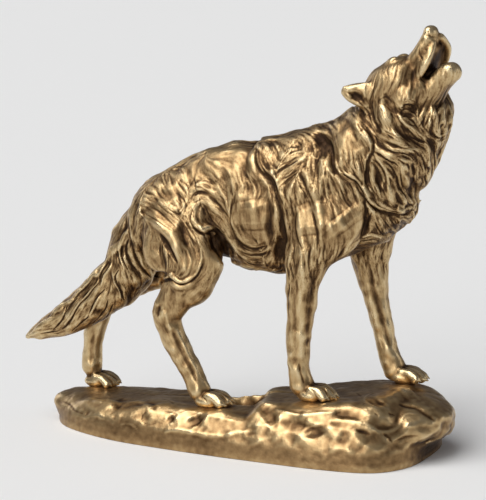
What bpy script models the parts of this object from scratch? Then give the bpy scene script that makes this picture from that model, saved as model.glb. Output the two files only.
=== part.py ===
"""A howling wolf on a rock, cast in one piece.

Sizes are written in millimetres and turned into metres when the mesh is made. The wolf looks along +X with
its head turned a little to its right (-Y). Z is up, and the rock's flat underside lies at z = 0.
"""
import math

import bmesh
import bpy
import numpy as np
from mathutils import Vector
from mathutils.bvhtree import BVHTree

MM = 0.001

# The rock: outline of its foot (x, y), heights of its top, and the plain band at its foot
BASE_OUTLINE = [(-105, 4), (-96.5, -9), (-82, -19), (-60, -28), (-35, -33), (-8, -37), (20, -40), (45, -42),
                (66, -41), (78, -35), (86, -22), (89, -4), (90, 14), (86, 28), (70, 36), (40, 36), (10, 34),
                (-20, 33), (-50, 33), (-80, 32), (-98, 28), (-108.5, 17)]
BASE_BAND_HEIGHT = 7.5
REAR_TOP_Z = 15.0
MIDDLE_TOP_Z = 19.5
STEP_X = 14.0
STEP_SLANT = 0.2
STEP_RISE = 5.5
FRONT_TOP_Z = 31.0
ROCK_ROUGHNESS = 1.8

# The trunk: each row is a station from rump to chest
TRUNK_HALF_WIDTH = 23.0
TRUNK_TOP_SHOULDER_Z = 159.5
TRUNK_TOP_RUMP_Z = 132.5

# Paws: where each one stands along X and how far it is from the middle plane
NEAR_FORE_PAW_X = 38.0
FAR_FORE_PAW_X = 72.0
NEAR_HIND_PAW_X = -13.5
FAR_HIND_PAW_X = -88.0
NEAR_FOOT_Y = -18.5
FAR_FOOT_Y = 17.0
PAW_LENGTH = 20.0
PAW_HALF_WIDTH = 7.6
TOE_RADIUS = 2.9

# Tail
TAIL_TIP_X = -118.5
TAIL_TIP_Z = 42.0

# Head
NOSE_X = 87.3
NOSE_Y = -7.3
NOSE_Z = 197.2
JAW_TIP_X = 97.0
JAW_TIP_Z = 179.5

# Carved fur: the size of the locks that stand up from the coat
LOCK_RADIUS = 2.3
LOCK_LENGTH = 15.0
LOCK_RISE = 0.55

# The photo's viewpoint, which the carving is cast from: turn and lift in degrees, distance and aim in
# millimetres, and where the aim falls in the photo, in pixels
VIEW_TURN = 20.0
VIEW_LIFT = 9.0
VIEW_DISTANCE = 900.0
VIEW_AIM = (0.0, 0.0, 97.0)
VIEW_PIXELS_PER_MM = 2.1
VIEW_AIM_PIXEL = (252.0, 240.0)

# Fineness of the finished mesh
VOXEL = 1.15
TRIANGLES = 11600


# Carving: strokes traced by eye on the photo, in its pixels. Each row is a kind, a width and a height in
# millimetres, and the points that the stroke passes. They are cast from the photo's viewpoint onto the body.
BODY_STROKES = [
    ("step", 2.6, 1.2, [(131, 214), (130, 228), (133, 240), (136, 252), (142, 265), (150, 275)]),
    ("groove", 2.2, -1.9, [(160, 235), (166, 245), (172, 252), (177, 262)]),
    ("groove", 1.2, -0.9, [(163, 240), (161, 250), (163, 262), (167, 276)]),
    ("ridge", 4.0, 1.0, [(148, 232), (147, 245), (151, 258), (157, 268)]),
    ("ridge", 3.0, 1.3, [(152, 222), (165, 232), (174, 240), (181, 255), (184, 268)]),
    ("groove", 0.9, -0.7, [(143, 212), (153, 218), (163, 225), (172, 231)]),
    ("groove", 0.9, -0.7, [(147, 205), (158, 211), (168, 220), (176, 227)]),
    ("groove", 0.9, -0.6, [(152, 199), (160, 206), (170, 214), (178, 221)]),
    ("groove", 1.1, -1.1, [(167, 207), (173, 212), (179, 214), (184, 208)]),
    ("groove", 1.0, -0.9, [(176, 193), (182, 198), (186, 205), (184, 212)]),
    ("ridge", 3.4, 1.0, [(169, 184), (173, 194), (177, 202)]),
    ("groove", 2.6, -1.1, [(181, 222), (183, 235), (187, 245)]),
    ("ridge", 1.6, 0.9, [(190, 229), (196, 236), (200, 248), (202, 258), (199, 268)]),
    ("ridge", 1.6, 0.8, [(186, 248), (191, 260), (189, 271), (182, 278)]),
    ("step", 2.2, 1.5, [(160, 284), (166, 279), (172, 278), (180, 283), (189, 281), (197, 275),
        (201, 266)]),
    ("groove", 1.8, -2.0, [(162, 283), (168, 279)]),
    ("groove", 3.2, -2.6, [(209, 231), (214, 240), (219, 250), (224, 260)]),
    ("step", 2.6, 1.8, [(196, 228), (204, 232), (210, 229), (216, 228), (224, 234), (232, 244), (241, 256),
        (247, 262)]),
    ("groove", 3.4, -2.2, [(214, 236), (222, 246), (232, 256)]),
    ("groove", 1.3, -1.2, [(191, 198), (196, 192), (204, 192), (211, 198), (220, 206), (229, 217)]),
    ("groove", 1.2, -1.0, [(198, 207), (203, 204), (207, 212), (213, 222), (222, 229)]),
    ("groove", 1.2, -1.1, [(193, 209), (190, 219), (194, 228), (203, 234)]),
    ("ridge", 1.2, 0.8, [(196, 201), (203, 198), (210, 205), (219, 214), (228, 223)]),
    ("ridge", 1.2, 0.8, [(194, 214), (195, 222), (201, 229)]),
    ("groove", 1.6, -1.4, [(233, 199), (231, 214), (233, 229), (238, 240), (246, 247), (255, 250),
        (264, 247)]),
    ("groove", 2.4, -1.5, [(268, 199), (270, 214), (269, 230), (270, 246)]),
    ("ridge", 8.0, 1.5, [(249, 200), (252, 215), (254, 230)]),
    ("step", 3.0, 1.3, [(258, 150), (259, 162), (262, 170), (268, 175), (273, 181), (276, 190), (279, 200),
        (283, 210), (285, 225), (286, 240), (287, 256)]),
    ("groove", 1.8, -1.6, [(259, 152), (260, 162), (264, 170), (270, 175), (275, 184), (278, 196),
        (282, 208), (284, 224), (285, 240), (286, 256)]),
    ("groove", 3.2, -2.0, [(280, 240), (279, 250), (278, 262)]),
    ("groove", 2.2, -1.6, [(258, 150), (262, 157), (265, 165), (271, 172)]),
    ("groove", 2.8, -2.3, [(315, 135), (322, 138), (328, 146), (331, 155), (332, 165), (336, 173)]),
    ("groove", 4.2, -1.3, [(318, 141), (321, 150), (318, 158)]),
    ("ridge", 1.7, 1.5, [(323, 131), (330, 140), (334, 150), (335, 160), (338, 170), (343, 175)]),
    ("step", 2.0, 1.3, [(342, 173), (350, 177), (357, 181), (362, 188), (367, 196)]),
    ("ridge", 5.0, 1.1, [(345, 130), (350, 145), (352, 160)]),
    ("ridge", 3.0, 0.9, [(359, 134), (366, 143), (370, 150)]),
    ("step", 2.0, 1.4, [(370, 193), (366, 185), (366, 172), (367, 160), (371, 152), (372, 142), (368, 132),
        (360, 121)]),
    ("groove", 1.0, -0.9, [(352, 150), (354, 162), (356, 173)]),
    ("groove", 1.0, -0.9, [(358, 155), (360, 165), (363, 176)]),
    ("groove", 1.2, -1.1, [(368, 160), (374, 166), (378, 176), (379, 186), (381, 195), (384, 203)]),
    ("groove", 1.3, -1.2, [(367, 168), (368, 182), (374, 192), (381, 202)]),
    ("ridge", 1.8, 0.8, [(372, 172), (375, 184), (379, 193)]),
    ("groove", 1.4, -1.4, [(386, 162), (392, 168), (396, 177), (399, 187), (404, 196)]),
    ("ridge", 3.0, 1.1, [(385, 175), (388, 188), (392, 200)]),
    ("ridge", 2.4, 1.6, [(404, 165), (406, 177), (408, 187)]),
    ("groove", 1.3, -1.1, [(400, 168), (401, 180), (404, 192)]),
    ("groove", 1.3, -1.1, [(412, 160), (414, 172), (412, 185)]),
    ("step", 2.6, 1.9, [(366, 196), (372, 203), (378, 208), (387, 212), (397, 213), (405, 212),
        (412, 209)]),
    ("groove", 1.6, -1.1, [(372, 212), (368, 222), (365, 233)]),
    ("groove", 1.0, -0.9, [(379, 214), (385, 222), (392, 230)]),
    ("groove", 1.0, -0.9, [(389, 215), (395, 222), (401, 227)]),
    ("groove", 1.0, -0.9, [(375, 222), (379, 230), (384, 236)]),
    ("ridge", 1.1, 1.2, [(357, 240), (363, 236), (371, 234), (380, 236), (388, 236)]),
    ("groove", 1.3, -1.2, [(355, 243), (364, 239), (373, 238), (382, 240)]),
    ("groove", 1.1, -0.9, [(273, 177), (280, 170), (290, 165), (300, 160)]),
    ("groove", 1.1, -0.9, [(279, 190), (284, 182), (292, 176), (300, 172)]),
    ("groove", 2.0, -1.3, [(299, 173), (304, 181), (307, 190), (310, 198)]),
    ("ridge", 6.0, 1.5, [(300, 205), (306, 222), (308, 235)]),
    ("ridge", 3.4, 1.0, [(321, 203), (322, 220), (321, 236)]),
    ("groove", 1.6, -1.3, [(313, 212), (316, 225), (318, 238), (317, 250)]),
    ("groove", 1.4, -1.0, [(297, 212), (296, 226), (297, 238), (301, 247)]),
    ("ridge", 8.0, 1.3, [(340, 214), (350, 226)]),
    ("groove", 2.6, -1.7, [(365, 200), (366, 212), (365, 225), (360, 236)]),
    ("ridge", 2.2, 0.9, [(302, 252), (301, 263), (303, 275)]),
    ("groove", 1.6, -1.1, [(311, 246), (309, 258), (309, 271)]),
    ("groove", 1.2, -0.9, [(291, 242), (289, 255), (288, 268), (290, 280)]),
    ("groove", 1.0, -0.7, [(330, 200), (333, 210), (335, 219)]),
    ("groove", 1.0, -0.7, [(322, 185), (325, 196), (328, 207)]),
    ("groove", 1.3, -1.1, [(341, 190), (345, 200), (350, 207)]),
]

HEAD_STROKES = [
    ("groove", 0.8, -0.9, [(391, 62), (394, 59.6), (398, 59)]),
    ("groove", 1.0, -0.8, [(389, 66), (387, 71), (388, 76)]),
    ("groove", 0.9, -0.8, [(409, 66), (407, 75), (408, 85), (407, 95), (408, 103)]),
    ("groove", 1.4, -1.2, [(414, 69), (412.5, 76), (413, 84), (413, 92)]),
    ("groove", 0.9, -0.6, [(402, 66), (400, 73), (398, 80)]),
    ("ridge", 1.2, 0.7, [(411, 66), (410.5, 80), (410.5, 95)]),
    ("ridge", 1.6, 0.7, [(396, 64), (394, 72), (392, 82)]),
    ("groove", 0.9, -0.9, [(419, 66), (418, 72), (421, 79), (426, 83)]),
    ("groove", 1.5, -1.9, [(425.5, 72), (427.5, 76)]),
    ("groove", 0.9, -0.8, [(418.5, 47), (419.5, 55), (423, 61)]),
    ("ridge", 1.0, 0.5, [(436, 43), (433, 50), (429, 56), (424.5, 62)]),
    ("groove", 0.6, -0.5, [(423.5, 44), (424, 45)]),
    ("groove", 0.6, -0.5, [(421.5, 48), (422, 49)]),
    ("groove", 0.6, -0.5, [(425, 49), (425.4, 50)]),
    ("groove", 0.6, -0.5, [(423, 53), (423.4, 54)]),
    ("groove", 0.6, -0.5, [(427, 45), (427.4, 46)]),
    ("groove", 0.6, -0.5, [(421.6, 57), (422, 58)]),
    ("groove", 0.9, -1.4, [(427.4, 31.5), (428.8, 32)]),
    ("groove", 0.7, -0.7, [(424.5, 36), (429, 35), (431, 37), (437, 37)]),
    ("groove", 1.0, -1.0, [(379, 104), (380, 100), (384, 97), (388, 98), (391, 102)]),
    ("ridge", 2.6, 1.5, [(383, 103), (385, 110), (388, 117), (389.5, 123)]),
    ("groove", 1.1, -1.1, [(378, 104), (376, 110), (378, 117), (382, 124), (384.5, 128)]),
    ("groove", 1.1, -1.1, [(393, 106), (396, 113), (398, 119), (394, 126), (390, 129)]),
    ("groove", 1.2, -1.1, [(377, 76), (375, 84), (373, 92), (370, 100), (369.5, 108), (371, 116),
        (374, 124)]),
    ("ridge", 1.2, 0.8, [(380, 79), (377, 88), (374, 97), (373, 106), (374, 114)]),
    ("groove", 1.0, -1.0, [(402, 107), (406, 105), (411, 105), (415, 108)]),
    ("groove", 1.0, -1.0, [(400, 112), (404, 109.5), (410, 111), (415, 113)]),
    ("groove", 1.0, -1.0, [(402, 117), (407, 115), (413, 117)]),
    ("groove", 1.1, -1.1, [(400, 118), (404, 122), (409, 125), (415, 126)]),
    ("groove", 1.8, -1.4, [(447, 91), (443.5, 98), (440, 104), (436, 110), (433, 117)]),
    ("groove", 0.9, -0.8, [(428, 96), (425, 104), (421, 111), (418, 117)]),
    ("groove", 0.9, -0.8, [(433, 97), (430, 105), (426, 112)]),
    ("groove", 1.0, -0.9, [(430, 112), (428, 120), (425, 127)]),
    ("groove", 1.0, -0.9, [(426, 114), (423, 121), (419, 127)]),
    ("groove", 1.0, -0.9, [(421, 118), (423, 125), (427, 131), (430, 134)]),
    ("groove", 1.2, -1.1, [(433, 110), (432, 122), (431, 135)]),
    ("ridge", 1.2, 1.1, [(447, 130), (444, 134), (439, 136)]),
    ("groove", 1.1, -1.1, [(371, 118), (376, 126), (384, 134), (392, 139), (400, 142)]),
    ("groove", 1.1, -1.1, [(366, 120), (372, 130), (380, 139), (390, 145), (402, 148), (412, 147)]),
    ("groove", 1.1, -1.1, [(362, 126), (368, 134), (374, 142), (382, 149), (392, 152), (404, 153),
        (413, 155)]),
    ("ridge", 1.2, 0.9, [(368, 124), (374, 134), (382, 141), (392, 147), (404, 150)]),
    ("ridge", 1.2, 0.9, [(374, 124), (380, 131), (388, 137), (397, 141)]),
    ("groove", 1.0, -1.0, [(384, 130), (391, 134), (398, 138)]),
    ("groove", 1.0, -1.0, [(393, 124), (398, 132), (404, 138), (410, 142)]),
    ("groove", 1.0, -1.0, [(400, 127), (406, 135), (412, 141), (418, 144), (424, 146)]),
    ("groove", 1.0, -1.0, [(407, 128), (412, 134), (418, 140), (425, 143)]),
    ("groove", 1.0, -1.0, [(412, 127), (416, 132), (421, 138), (428, 141)]),
    ("ridge", 1.0, 0.8, [(397, 124), (402, 132), (408, 138), (414, 142)]),
    ("ridge", 1.0, 0.8, [(409, 125), (414, 130), (420, 135), (426, 138)]),
    ("groove", 1.3, -1.2, [(358, 118), (362, 126), (368, 133), (374, 140)]),
    ("groove", 1.0, -1.0, [(352, 114), (358, 121), (362, 127)]),
    ("groove", 1.1, -1.0, [(373, 150), (380, 156), (388, 160), (396, 163)]),
    ("groove", 1.0, -0.9, [(402, 152), (410, 156), (415, 162)]),
    ("groove", 1.0, -0.9, [(418, 150), (422, 158), (424, 166)]),
    ("groove", 1.0, -0.9, [(430, 150), (431, 158), (430, 166)]),
]

TAIL_STROKES = [
    ("groove", 1.6, -1.3, [(129, 222), (130, 232), (127, 243), (126, 250), (129, 262), (136, 270)]),
    ("groove", 1.2, -1.0, [(108, 262), (104, 268), (100, 275), (98, 283)]),
    ("ridge", 1.6, 1.0, [(113, 250), (112, 260), (110, 268), (104, 276), (101, 284)]),
    ("groove", 1.1, -1.0, [(122, 246), (121, 255), (124, 263), (128, 270)]),
    ("groove", 1.1, -1.0, [(117, 248), (118, 256), (121, 265)]),
    ("groove", 1.1, -1.0, [(119, 270), (115, 277), (117, 285), (121, 292), (124, 300)]),
    ("ridge", 1.6, 1.0, [(112, 272), (114, 281), (119, 290), (121, 299)]),
    ("groove", 0.9, -0.8, [(92, 280), (86, 287), (79, 293), (73, 300)]),
    ("groove", 1.1, -1.0, [(98, 283), (92, 290), (87, 297), (80, 304), (75, 312), (70, 322), (62, 330)]),
    ("groove", 1.1, -1.0, [(104, 290), (97, 298), (93, 306), (88, 316), (80, 324), (72, 331)]),
    ("groove", 1.1, -1.0, [(108, 300), (106, 308), (100, 316), (93, 322)]),
    ("groove", 1.0, -0.9, [(113, 304), (110, 311), (106, 317)]),
    ("ridge", 1.4, 0.9, [(90, 290), (84, 298), (77, 307), (71, 317), (64, 325)]),
    ("ridge", 1.6, 1.0, [(101, 293), (96, 302), (91, 312), (84, 320)]),
    ("groove", 0.9, -0.9, [(66, 307), (64, 316), (58, 325), (53, 330)]),
    ("groove", 0.9, -0.8, [(76, 299), (70, 305), (66, 312)]),
    ("groove", 0.8, -0.7, [(40, 334), (48, 333), (56, 333)]),
]

LEG_STROKES = [
    ("groove", 0.9, -0.7, [(170, 325), (178, 342), (188, 362), (197, 382)]),
    ("groove", 0.9, -0.7, [(180, 328), (186, 345), (195, 362), (204, 382)]),
    ("ridge", 1.2, 0.6, [(176, 330), (183, 346), (192, 364), (201, 382)]),
    ("groove", 1.2, -1.0, [(158, 304), (160, 312), (159, 320), (164, 330)]),
    ("ridge", 1.6, 0.8, [(166, 312), (168, 322), (172, 330)]),
    ("groove", 1.0, -0.8, [(297, 285), (297, 305), (298, 325), (300, 345), (303, 365)]),
    ("groove", 1.0, -0.8, [(308, 285), (307, 305), (306, 325), (307, 345), (310, 362)]),
    ("ridge", 1.4, 0.7, [(302, 285), (302, 310), (302, 335), (304, 358)]),
    ("groove", 1.0, -0.8, [(370, 270), (375, 295), (383, 320), (390, 345)]),
    ("groove", 1.0, -0.8, [(92, 335), (90, 350), (90, 365)]),
]

ROCK_STROKES = [
    ("groove", 0.8, -0.9, [(150, 411), (144, 414), (142, 419), (144, 423), (149, 425), (155, 424)]),
    ("groove", 0.7, -0.8, [(132, 412), (133, 408), (137, 409), (138, 412)]),
    ("groove", 2.4, -1.8, [(153, 404), (155, 410)]),
    ("groove", 3.0, -1.6, [(121, 399), (119, 408)]),
    ("groove", 2.6, -1.2, [(70, 415), (74, 422)]),
    ("groove", 1.6, -1.6, [(63, 402), (70, 405), (75, 411), (83, 414)]),
    ("ridge", 2.2, 1.2, [(84, 418), (95, 415), (105, 419)]),
    ("groove", 1.6, -1.3, [(90, 424), (104, 425), (114, 427)]),
    ("ridge", 2.4, 1.2, [(130, 402), (140, 402), (148, 406)]),
    ("ridge", 2.6, 1.0, [(94, 401), (103, 402)]),
    ("groove", 3.2, -2.2, [(155, 427), (161, 429)]),
    ("groove", 2.6, -1.7, [(169, 416), (173, 421)]),
    ("groove", 1.0, -1.2, [(166, 411), (174, 413), (178, 418)]),
    ("ridge", 1.6, 1.0, [(120, 425), (130, 424), (138, 430)]),
    ("groove", 3.6, -2.1, [(195, 415), (199, 424)]),
    ("groove", 2.6, -1.9, [(232, 421), (235, 428)]),
    ("ridge", 2.2, 1.3, [(165, 432), (180, 430), (200, 434), (220, 436), (236, 433), (256, 431)]),
    ("ridge", 1.6, 0.9, [(205, 415), (225, 419), (242, 422)]),
    ("ridge", 1.4, 0.8, [(182, 413), (192, 411), (204, 413)]),
    ("groove", 2.6, -3.0, [(261, 405), (268, 413), (275, 424)]),
    ("ridge", 1.5, 1.2, [(256, 411), (264, 421), (271, 429)]),
    ("ridge", 2.0, 1.4, [(275, 409), (290, 413), (305, 415), (320, 413), (335, 413)]),
    ("groove", 3.0, -1.8, [(280, 422), (297, 424), (311, 428)]),
    ("groove", 3.0, -1.6, [(313, 426), (316, 436), (318, 447)]),
    ("ridge", 3.0, 1.4, [(329, 425), (334, 433), (342, 438)]),
    ("ridge", 2.5, 1.3, [(330, 421), (345, 420), (362, 424)]),
    ("groove", 2.0, -1.4, [(338, 414), (350, 415), (364, 417)]),
    ("ridge", 1.4, 1.3, [(366, 409), (364, 400), (370, 394), (384, 391)]),
    ("groove", 4.6, -1.9, [(371, 403), (384, 401)]),
    ("groove", 0.9, -1.2, [(353, 391), (361, 396), (364, 404), (361, 411)]),
    ("ridge", 6.0, 1.7, [(398, 392), (413, 393)]),
    ("groove", 2.5, -1.8, [(401, 405), (415, 407), (425, 413), (434, 420)]),
    ("groove", 1.5, -1.7, [(433, 422), (444, 419), (450, 412)]),
    ("ridge", 1.6, 1.1, [(400, 426), (403, 417), (409, 413), (418, 414)]),
    ("ridge", 2.4, 1.0, [(407, 423), (410, 426)]),
    ("ridge", 2.0, 1.4, [(365, 423), (378, 431), (390, 431), (399, 427)]),
    ("groove", 2.0, -1.7, [(357, 430), (370, 434)]),
    ("groove", 2.0, -1.6, [(384, 434), (392, 441)]),
    ("groove", 1.6, -1.2, [(395, 441), (405, 437), (418, 436)]),
    ("groove", 0.9, -1.0, [(355, 457), (362, 458)]),
    ("groove", 0.9, -1.0, [(370, 457), (378, 457)]),
    ("groove", 0.9, -1.0, [(380, 458), (388, 455)]),
    ("groove", 0.8, -0.8, [(244, 441), (265, 442), (285, 441), (300, 442), (312, 447)]),
    ("groove", 0.8, -0.8, [(335, 443), (350, 443), (365, 444)]),
    ("groove", 1.0, -1.0, [(375, 413), (379, 417)]),
    ("groove", 1.0, -1.0, [(388, 413), (395, 415)]),
    ("groove", 0.9, -1.1, [(162, 399), (170, 401), (175, 406)]),
]


def clear_scene():
    for obj in list(bpy.data.objects):
        bpy.data.objects.remove(obj)


def smooth_rows(rows, per_gap):
    """Rows joined by a smooth curve that passes through each one."""
    rows = np.array(rows, dtype=float)
    padded = np.vstack([2 * rows[0] - rows[1], rows, 2 * rows[-1] - rows[-2]])
    out = []
    for i in range(1, len(padded) - 2):
        before, start, end, after = padded[i - 1], padded[i], padded[i + 1], padded[i + 2]
        for t in np.linspace(0, 1, per_gap, endpoint=False):
            curve = 2 * start + (end - before) * t
            curve += (2 * before - 5 * start + 4 * end - after) * t ** 2
            curve += (3 * start - before - 3 * end + after) * t ** 3
            out.append(curve / 2)
    out.append(padded[-2])
    return np.array(out)


def ring_faces(ring_count, around):
    faces = []
    for i in range(ring_count - 1):
        for j in range(around):
            k = (j + 1) % around
            faces.append((i * around + j, i * around + k, (i + 1) * around + k, (i + 1) * around + j))
    return faces


def tube(rows, around=24, per_gap=5, domes=4, across=(0, 1, 0)):
    """A closed limb: rows of x, y, z, half width across and half depth, with rounded ends."""
    curve = smooth_rows(rows, per_gap)
    centres = curve[:, :3]
    widths = np.maximum(curve[:, 3], 0.2)
    depths = np.maximum(curve[:, 4], 0.2)
    heading = np.gradient(centres, axis=0)
    heading /= np.linalg.norm(heading, axis=1)[:, None]
    side = np.array(across, dtype=float) - heading * (heading @ np.array(across, dtype=float))[:, None]
    side /= np.linalg.norm(side, axis=1)[:, None]
    normal = np.cross(heading, side)
    angles = np.linspace(0, 2 * math.pi, around, endpoint=False)
    rings = []
    for step in range(domes, 0, -1):
        turn = math.pi / 2 * step / (domes + 0.4)
        reach = min(widths[0], depths[0]) * math.sin(turn)
        rings.append((centres[0] - heading[0] * reach, side[0] * widths[0] * math.cos(turn),
                      normal[0] * depths[0] * math.cos(turn)))
    for c, s, n, w, d in zip(centres, side, normal, widths, depths):
        rings.append((c, s * w, n * d))
    for step in range(1, domes + 1):
        turn = math.pi / 2 * step / (domes + 0.4)
        reach = min(widths[-1], depths[-1]) * math.sin(turn)
        rings.append((centres[-1] + heading[-1] * reach, side[-1] * widths[-1] * math.cos(turn),
                      normal[-1] * depths[-1] * math.cos(turn)))
    points = []
    for centre, s, n in rings:
        for a in angles:
            points.append(centre + s * math.cos(a) + n * math.sin(a))
    faces = ring_faces(len(rings), around)
    faces.append(tuple(range(around))[::-1])
    last = (len(rings) - 1) * around
    faces.append(tuple(range(last, last + around)))
    return np.array(points), faces


def ball(centre, radii, pitch=0.0, yaw=0.0):
    """An ellipsoid whose long axis is lifted by pitch and turned by yaw, both in degrees."""
    work = bmesh.new()
    bmesh.ops.create_uvsphere(work, u_segments=18, v_segments=12, radius=1.0)
    points = np.array([vert.co[:] for vert in work.verts]) * np.array(radii)
    faces = [tuple(vert.index for vert in face.verts) for face in work.faces]
    work.free()
    p, y = math.radians(pitch), math.radians(yaw)
    lift = np.array([[math.cos(p), 0, -math.sin(p)], [0, 1, 0], [math.sin(p), 0, math.cos(p)]])
    turn = np.array([[math.cos(y), -math.sin(y), 0], [math.sin(y), math.cos(y), 0], [0, 0, 1]])
    points = points @ (turn @ lift).T + np.array(centre)
    return points, faces


def bronze():
    """The one finish: rubbed bronze."""
    material = bpy.data.materials.new("antique bronze")
    material.use_nodes = True
    shader = material.node_tree.nodes["Principled BSDF"]
    shader.inputs["Base Color"].default_value = (0.46, 0.30, 0.12, 1.0)
    shader.inputs["Metallic"].default_value = 0.85
    shader.inputs["Roughness"].default_value = 0.38
    return material


def blend(low, high, value):
    t = np.clip((value - low) / (high - low), 0, 1)
    return t * t * (3 - 2 * t)


def rock_top(x, y):
    """Height of the rock's top: a low slab behind, one step, a rise to the front, a fall on the far side."""
    rear = REAR_TOP_Z + (MIDDLE_TOP_Z - REAR_TOP_Z) * blend(-85, -25, x)
    past_step = x - STEP_X + STEP_SLANT * (y + 25)
    rise = (FRONT_TOP_Z - MIDDLE_TOP_Z - STEP_RISE) * blend(STEP_X, 90, x)
    along = rear + STEP_RISE * blend(-7, 2, past_step) + rise
    stations = [-110, -88, -60, -30, -8, 6, 25, 50, 73, 100]
    shoulder = np.interp(x, stations, [14, 20, 18, 7, -2, 6, 15, 21, 30, 30])
    fall = 0.62 * np.maximum(y - shoulder, 0) ** 1.1
    dip = 4.6 * np.exp(-((past_step + 15) / 11) ** 2) * blend(-14, -4, y)
    return np.maximum(along - fall - dip, BASE_BAND_HEIGHT + 1.5)


def bumps(x, y, z, size, seed):
    """Smooth lumps made of sine waves in three directions, about -1 to 1."""
    rng = np.random.default_rng(seed)
    total = 0
    for _ in range(9):
        direction = rng.normal(size=3)
        direction /= np.linalg.norm(direction)
        phase = rng.uniform(0, 2 * math.pi)
        length = size * rng.uniform(0.7, 1.6)
        travel = x * direction[0] + y * direction[1] + z * direction[2]
        total = total + np.sin(travel * 2 * math.pi / length + phase)
    return total / 4.5


def closed_curve(rows, count):
    """A smooth closed outline through the rows, with its points evenly spaced."""
    rows = np.array(rows, dtype=float)
    dense = smooth_rows(np.vstack([rows[-2:], rows, rows[:3]]), 24)
    dense = dense[2 * 24:-2 * 24]
    steps = np.linalg.norm(np.diff(dense, axis=0), axis=1)
    travel = np.concatenate([[0], np.cumsum(steps)])
    wanted = np.linspace(0, travel[-1], count, endpoint=False)
    return np.stack([np.interp(wanted, travel, dense[:, 0]), np.interp(wanted, travel, dense[:, 1])], 1)


def rock():
    """The rock: rings from the middle of the underside out to the edge, up the band, over the side and in."""
    edge = closed_curve(BASE_OUTLINE, 200)
    middle_x = (edge[:, 0].min() + edge[:, 0].max()) / 2
    middle_y = (edge[:, 1].min() + edge[:, 1].max()) / 2
    half_y = (edge[:, 1].max() - edge[:, 1].min()) / 2
    half_x = (edge[:, 0].max() - edge[:, 0].min()) / 2
    across = edge[:, 1] - middle_y
    along = edge[:, 0] - middle_x
    rings = []
    for share in (0.02, 0.5, 1.0):
        rings.append(np.stack([middle_x + along * (1 - (1 - share) * half_y / half_x),
                               middle_y + across * share, np.full(len(edge), -4.0)], 1))
    rings.append(np.stack([edge[:, 0], edge[:, 1], np.full(len(edge), BASE_BAND_HEIGHT - 1.0)], 1))
    for step in range(0, 19):
        inset = [0.4, 1.0, 1.9, 3.0, 4.2, 5.5, 7, 8.5, 10, 11.5, 13, 14.5, 16.5, 19, 22, 26, 30, 34, 37][step]
        share = 1 - inset / half_y
        x = middle_x + along * (1 - inset / half_x)
        y = middle_y + across * share
        lift = 1 - (1 - min(inset / 15.5, 1)) ** 2.3
        chisel = ROCK_ROUGHNESS * (bumps(x, y, x * 0 + inset, 15, 3) + 0.5 * bumps(x, y, x * 0 + inset, 7, 4))
        chisel = chisel * math.sin(math.pi * min(inset / 17, 1)) ** 0.7
        z = BASE_BAND_HEIGHT + (rock_top(x, y) - BASE_BAND_HEIGHT) * lift + chisel
        z = z + 0.45 * bumps(x, y, x * 0, 19, 8) * lift
        rings.append(np.stack([x, y, z], 1))
    points = np.vstack(rings)
    around = len(edge)
    faces = ring_faces(len(rings), around)
    faces.append(tuple(range(around))[::-1])
    last = (len(rings) - 1) * around
    faces.append(tuple(range(last, last + around)))
    return [(points, faces), ball((79.5, 0, 16.5), (21, 26, 12)), ball((75.5, 14, 19.5), (17, 18, 9.5)),
            ball((-93, 9, 8.2), (17, 15, 6.4))]


def trunk():
    s = TRUNK_TOP_SHOULDER_Z - 159.5
    r = TRUNK_TOP_RUMP_Z - 132.5
    w = TRUNK_HALF_WIDTH / 23
    rows = [(-58, 0, 95 + r, 11 * w, 10), (-51, 0, 100 + r, 15.5 * w, 17), (-42, 0, 105.5 + r, 18 * w, 21.8),
            (-27, 0, 111 + r, 18.5 * w, 24), (-10, 0, 115.3, 18.5 * w, 27.8), (4, 0, 114, 20.5 * w, 31.6),
            (19, 0, 115.8, 22 * w, 32.6), (36, 0, 121 + s, 22.5 * w, 31.6), (49, 0, 126 + s, 21.5 * w, 31.4),
            (58, 0, 130.5 + s, 19.5 * w, 28.6), (64, 0, 136.5 + s, 16.5 * w, 22.6),
            (68.5, 0, 141 + s, 12.5 * w, 15.4)]
    return tube(rows, around=40)


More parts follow.
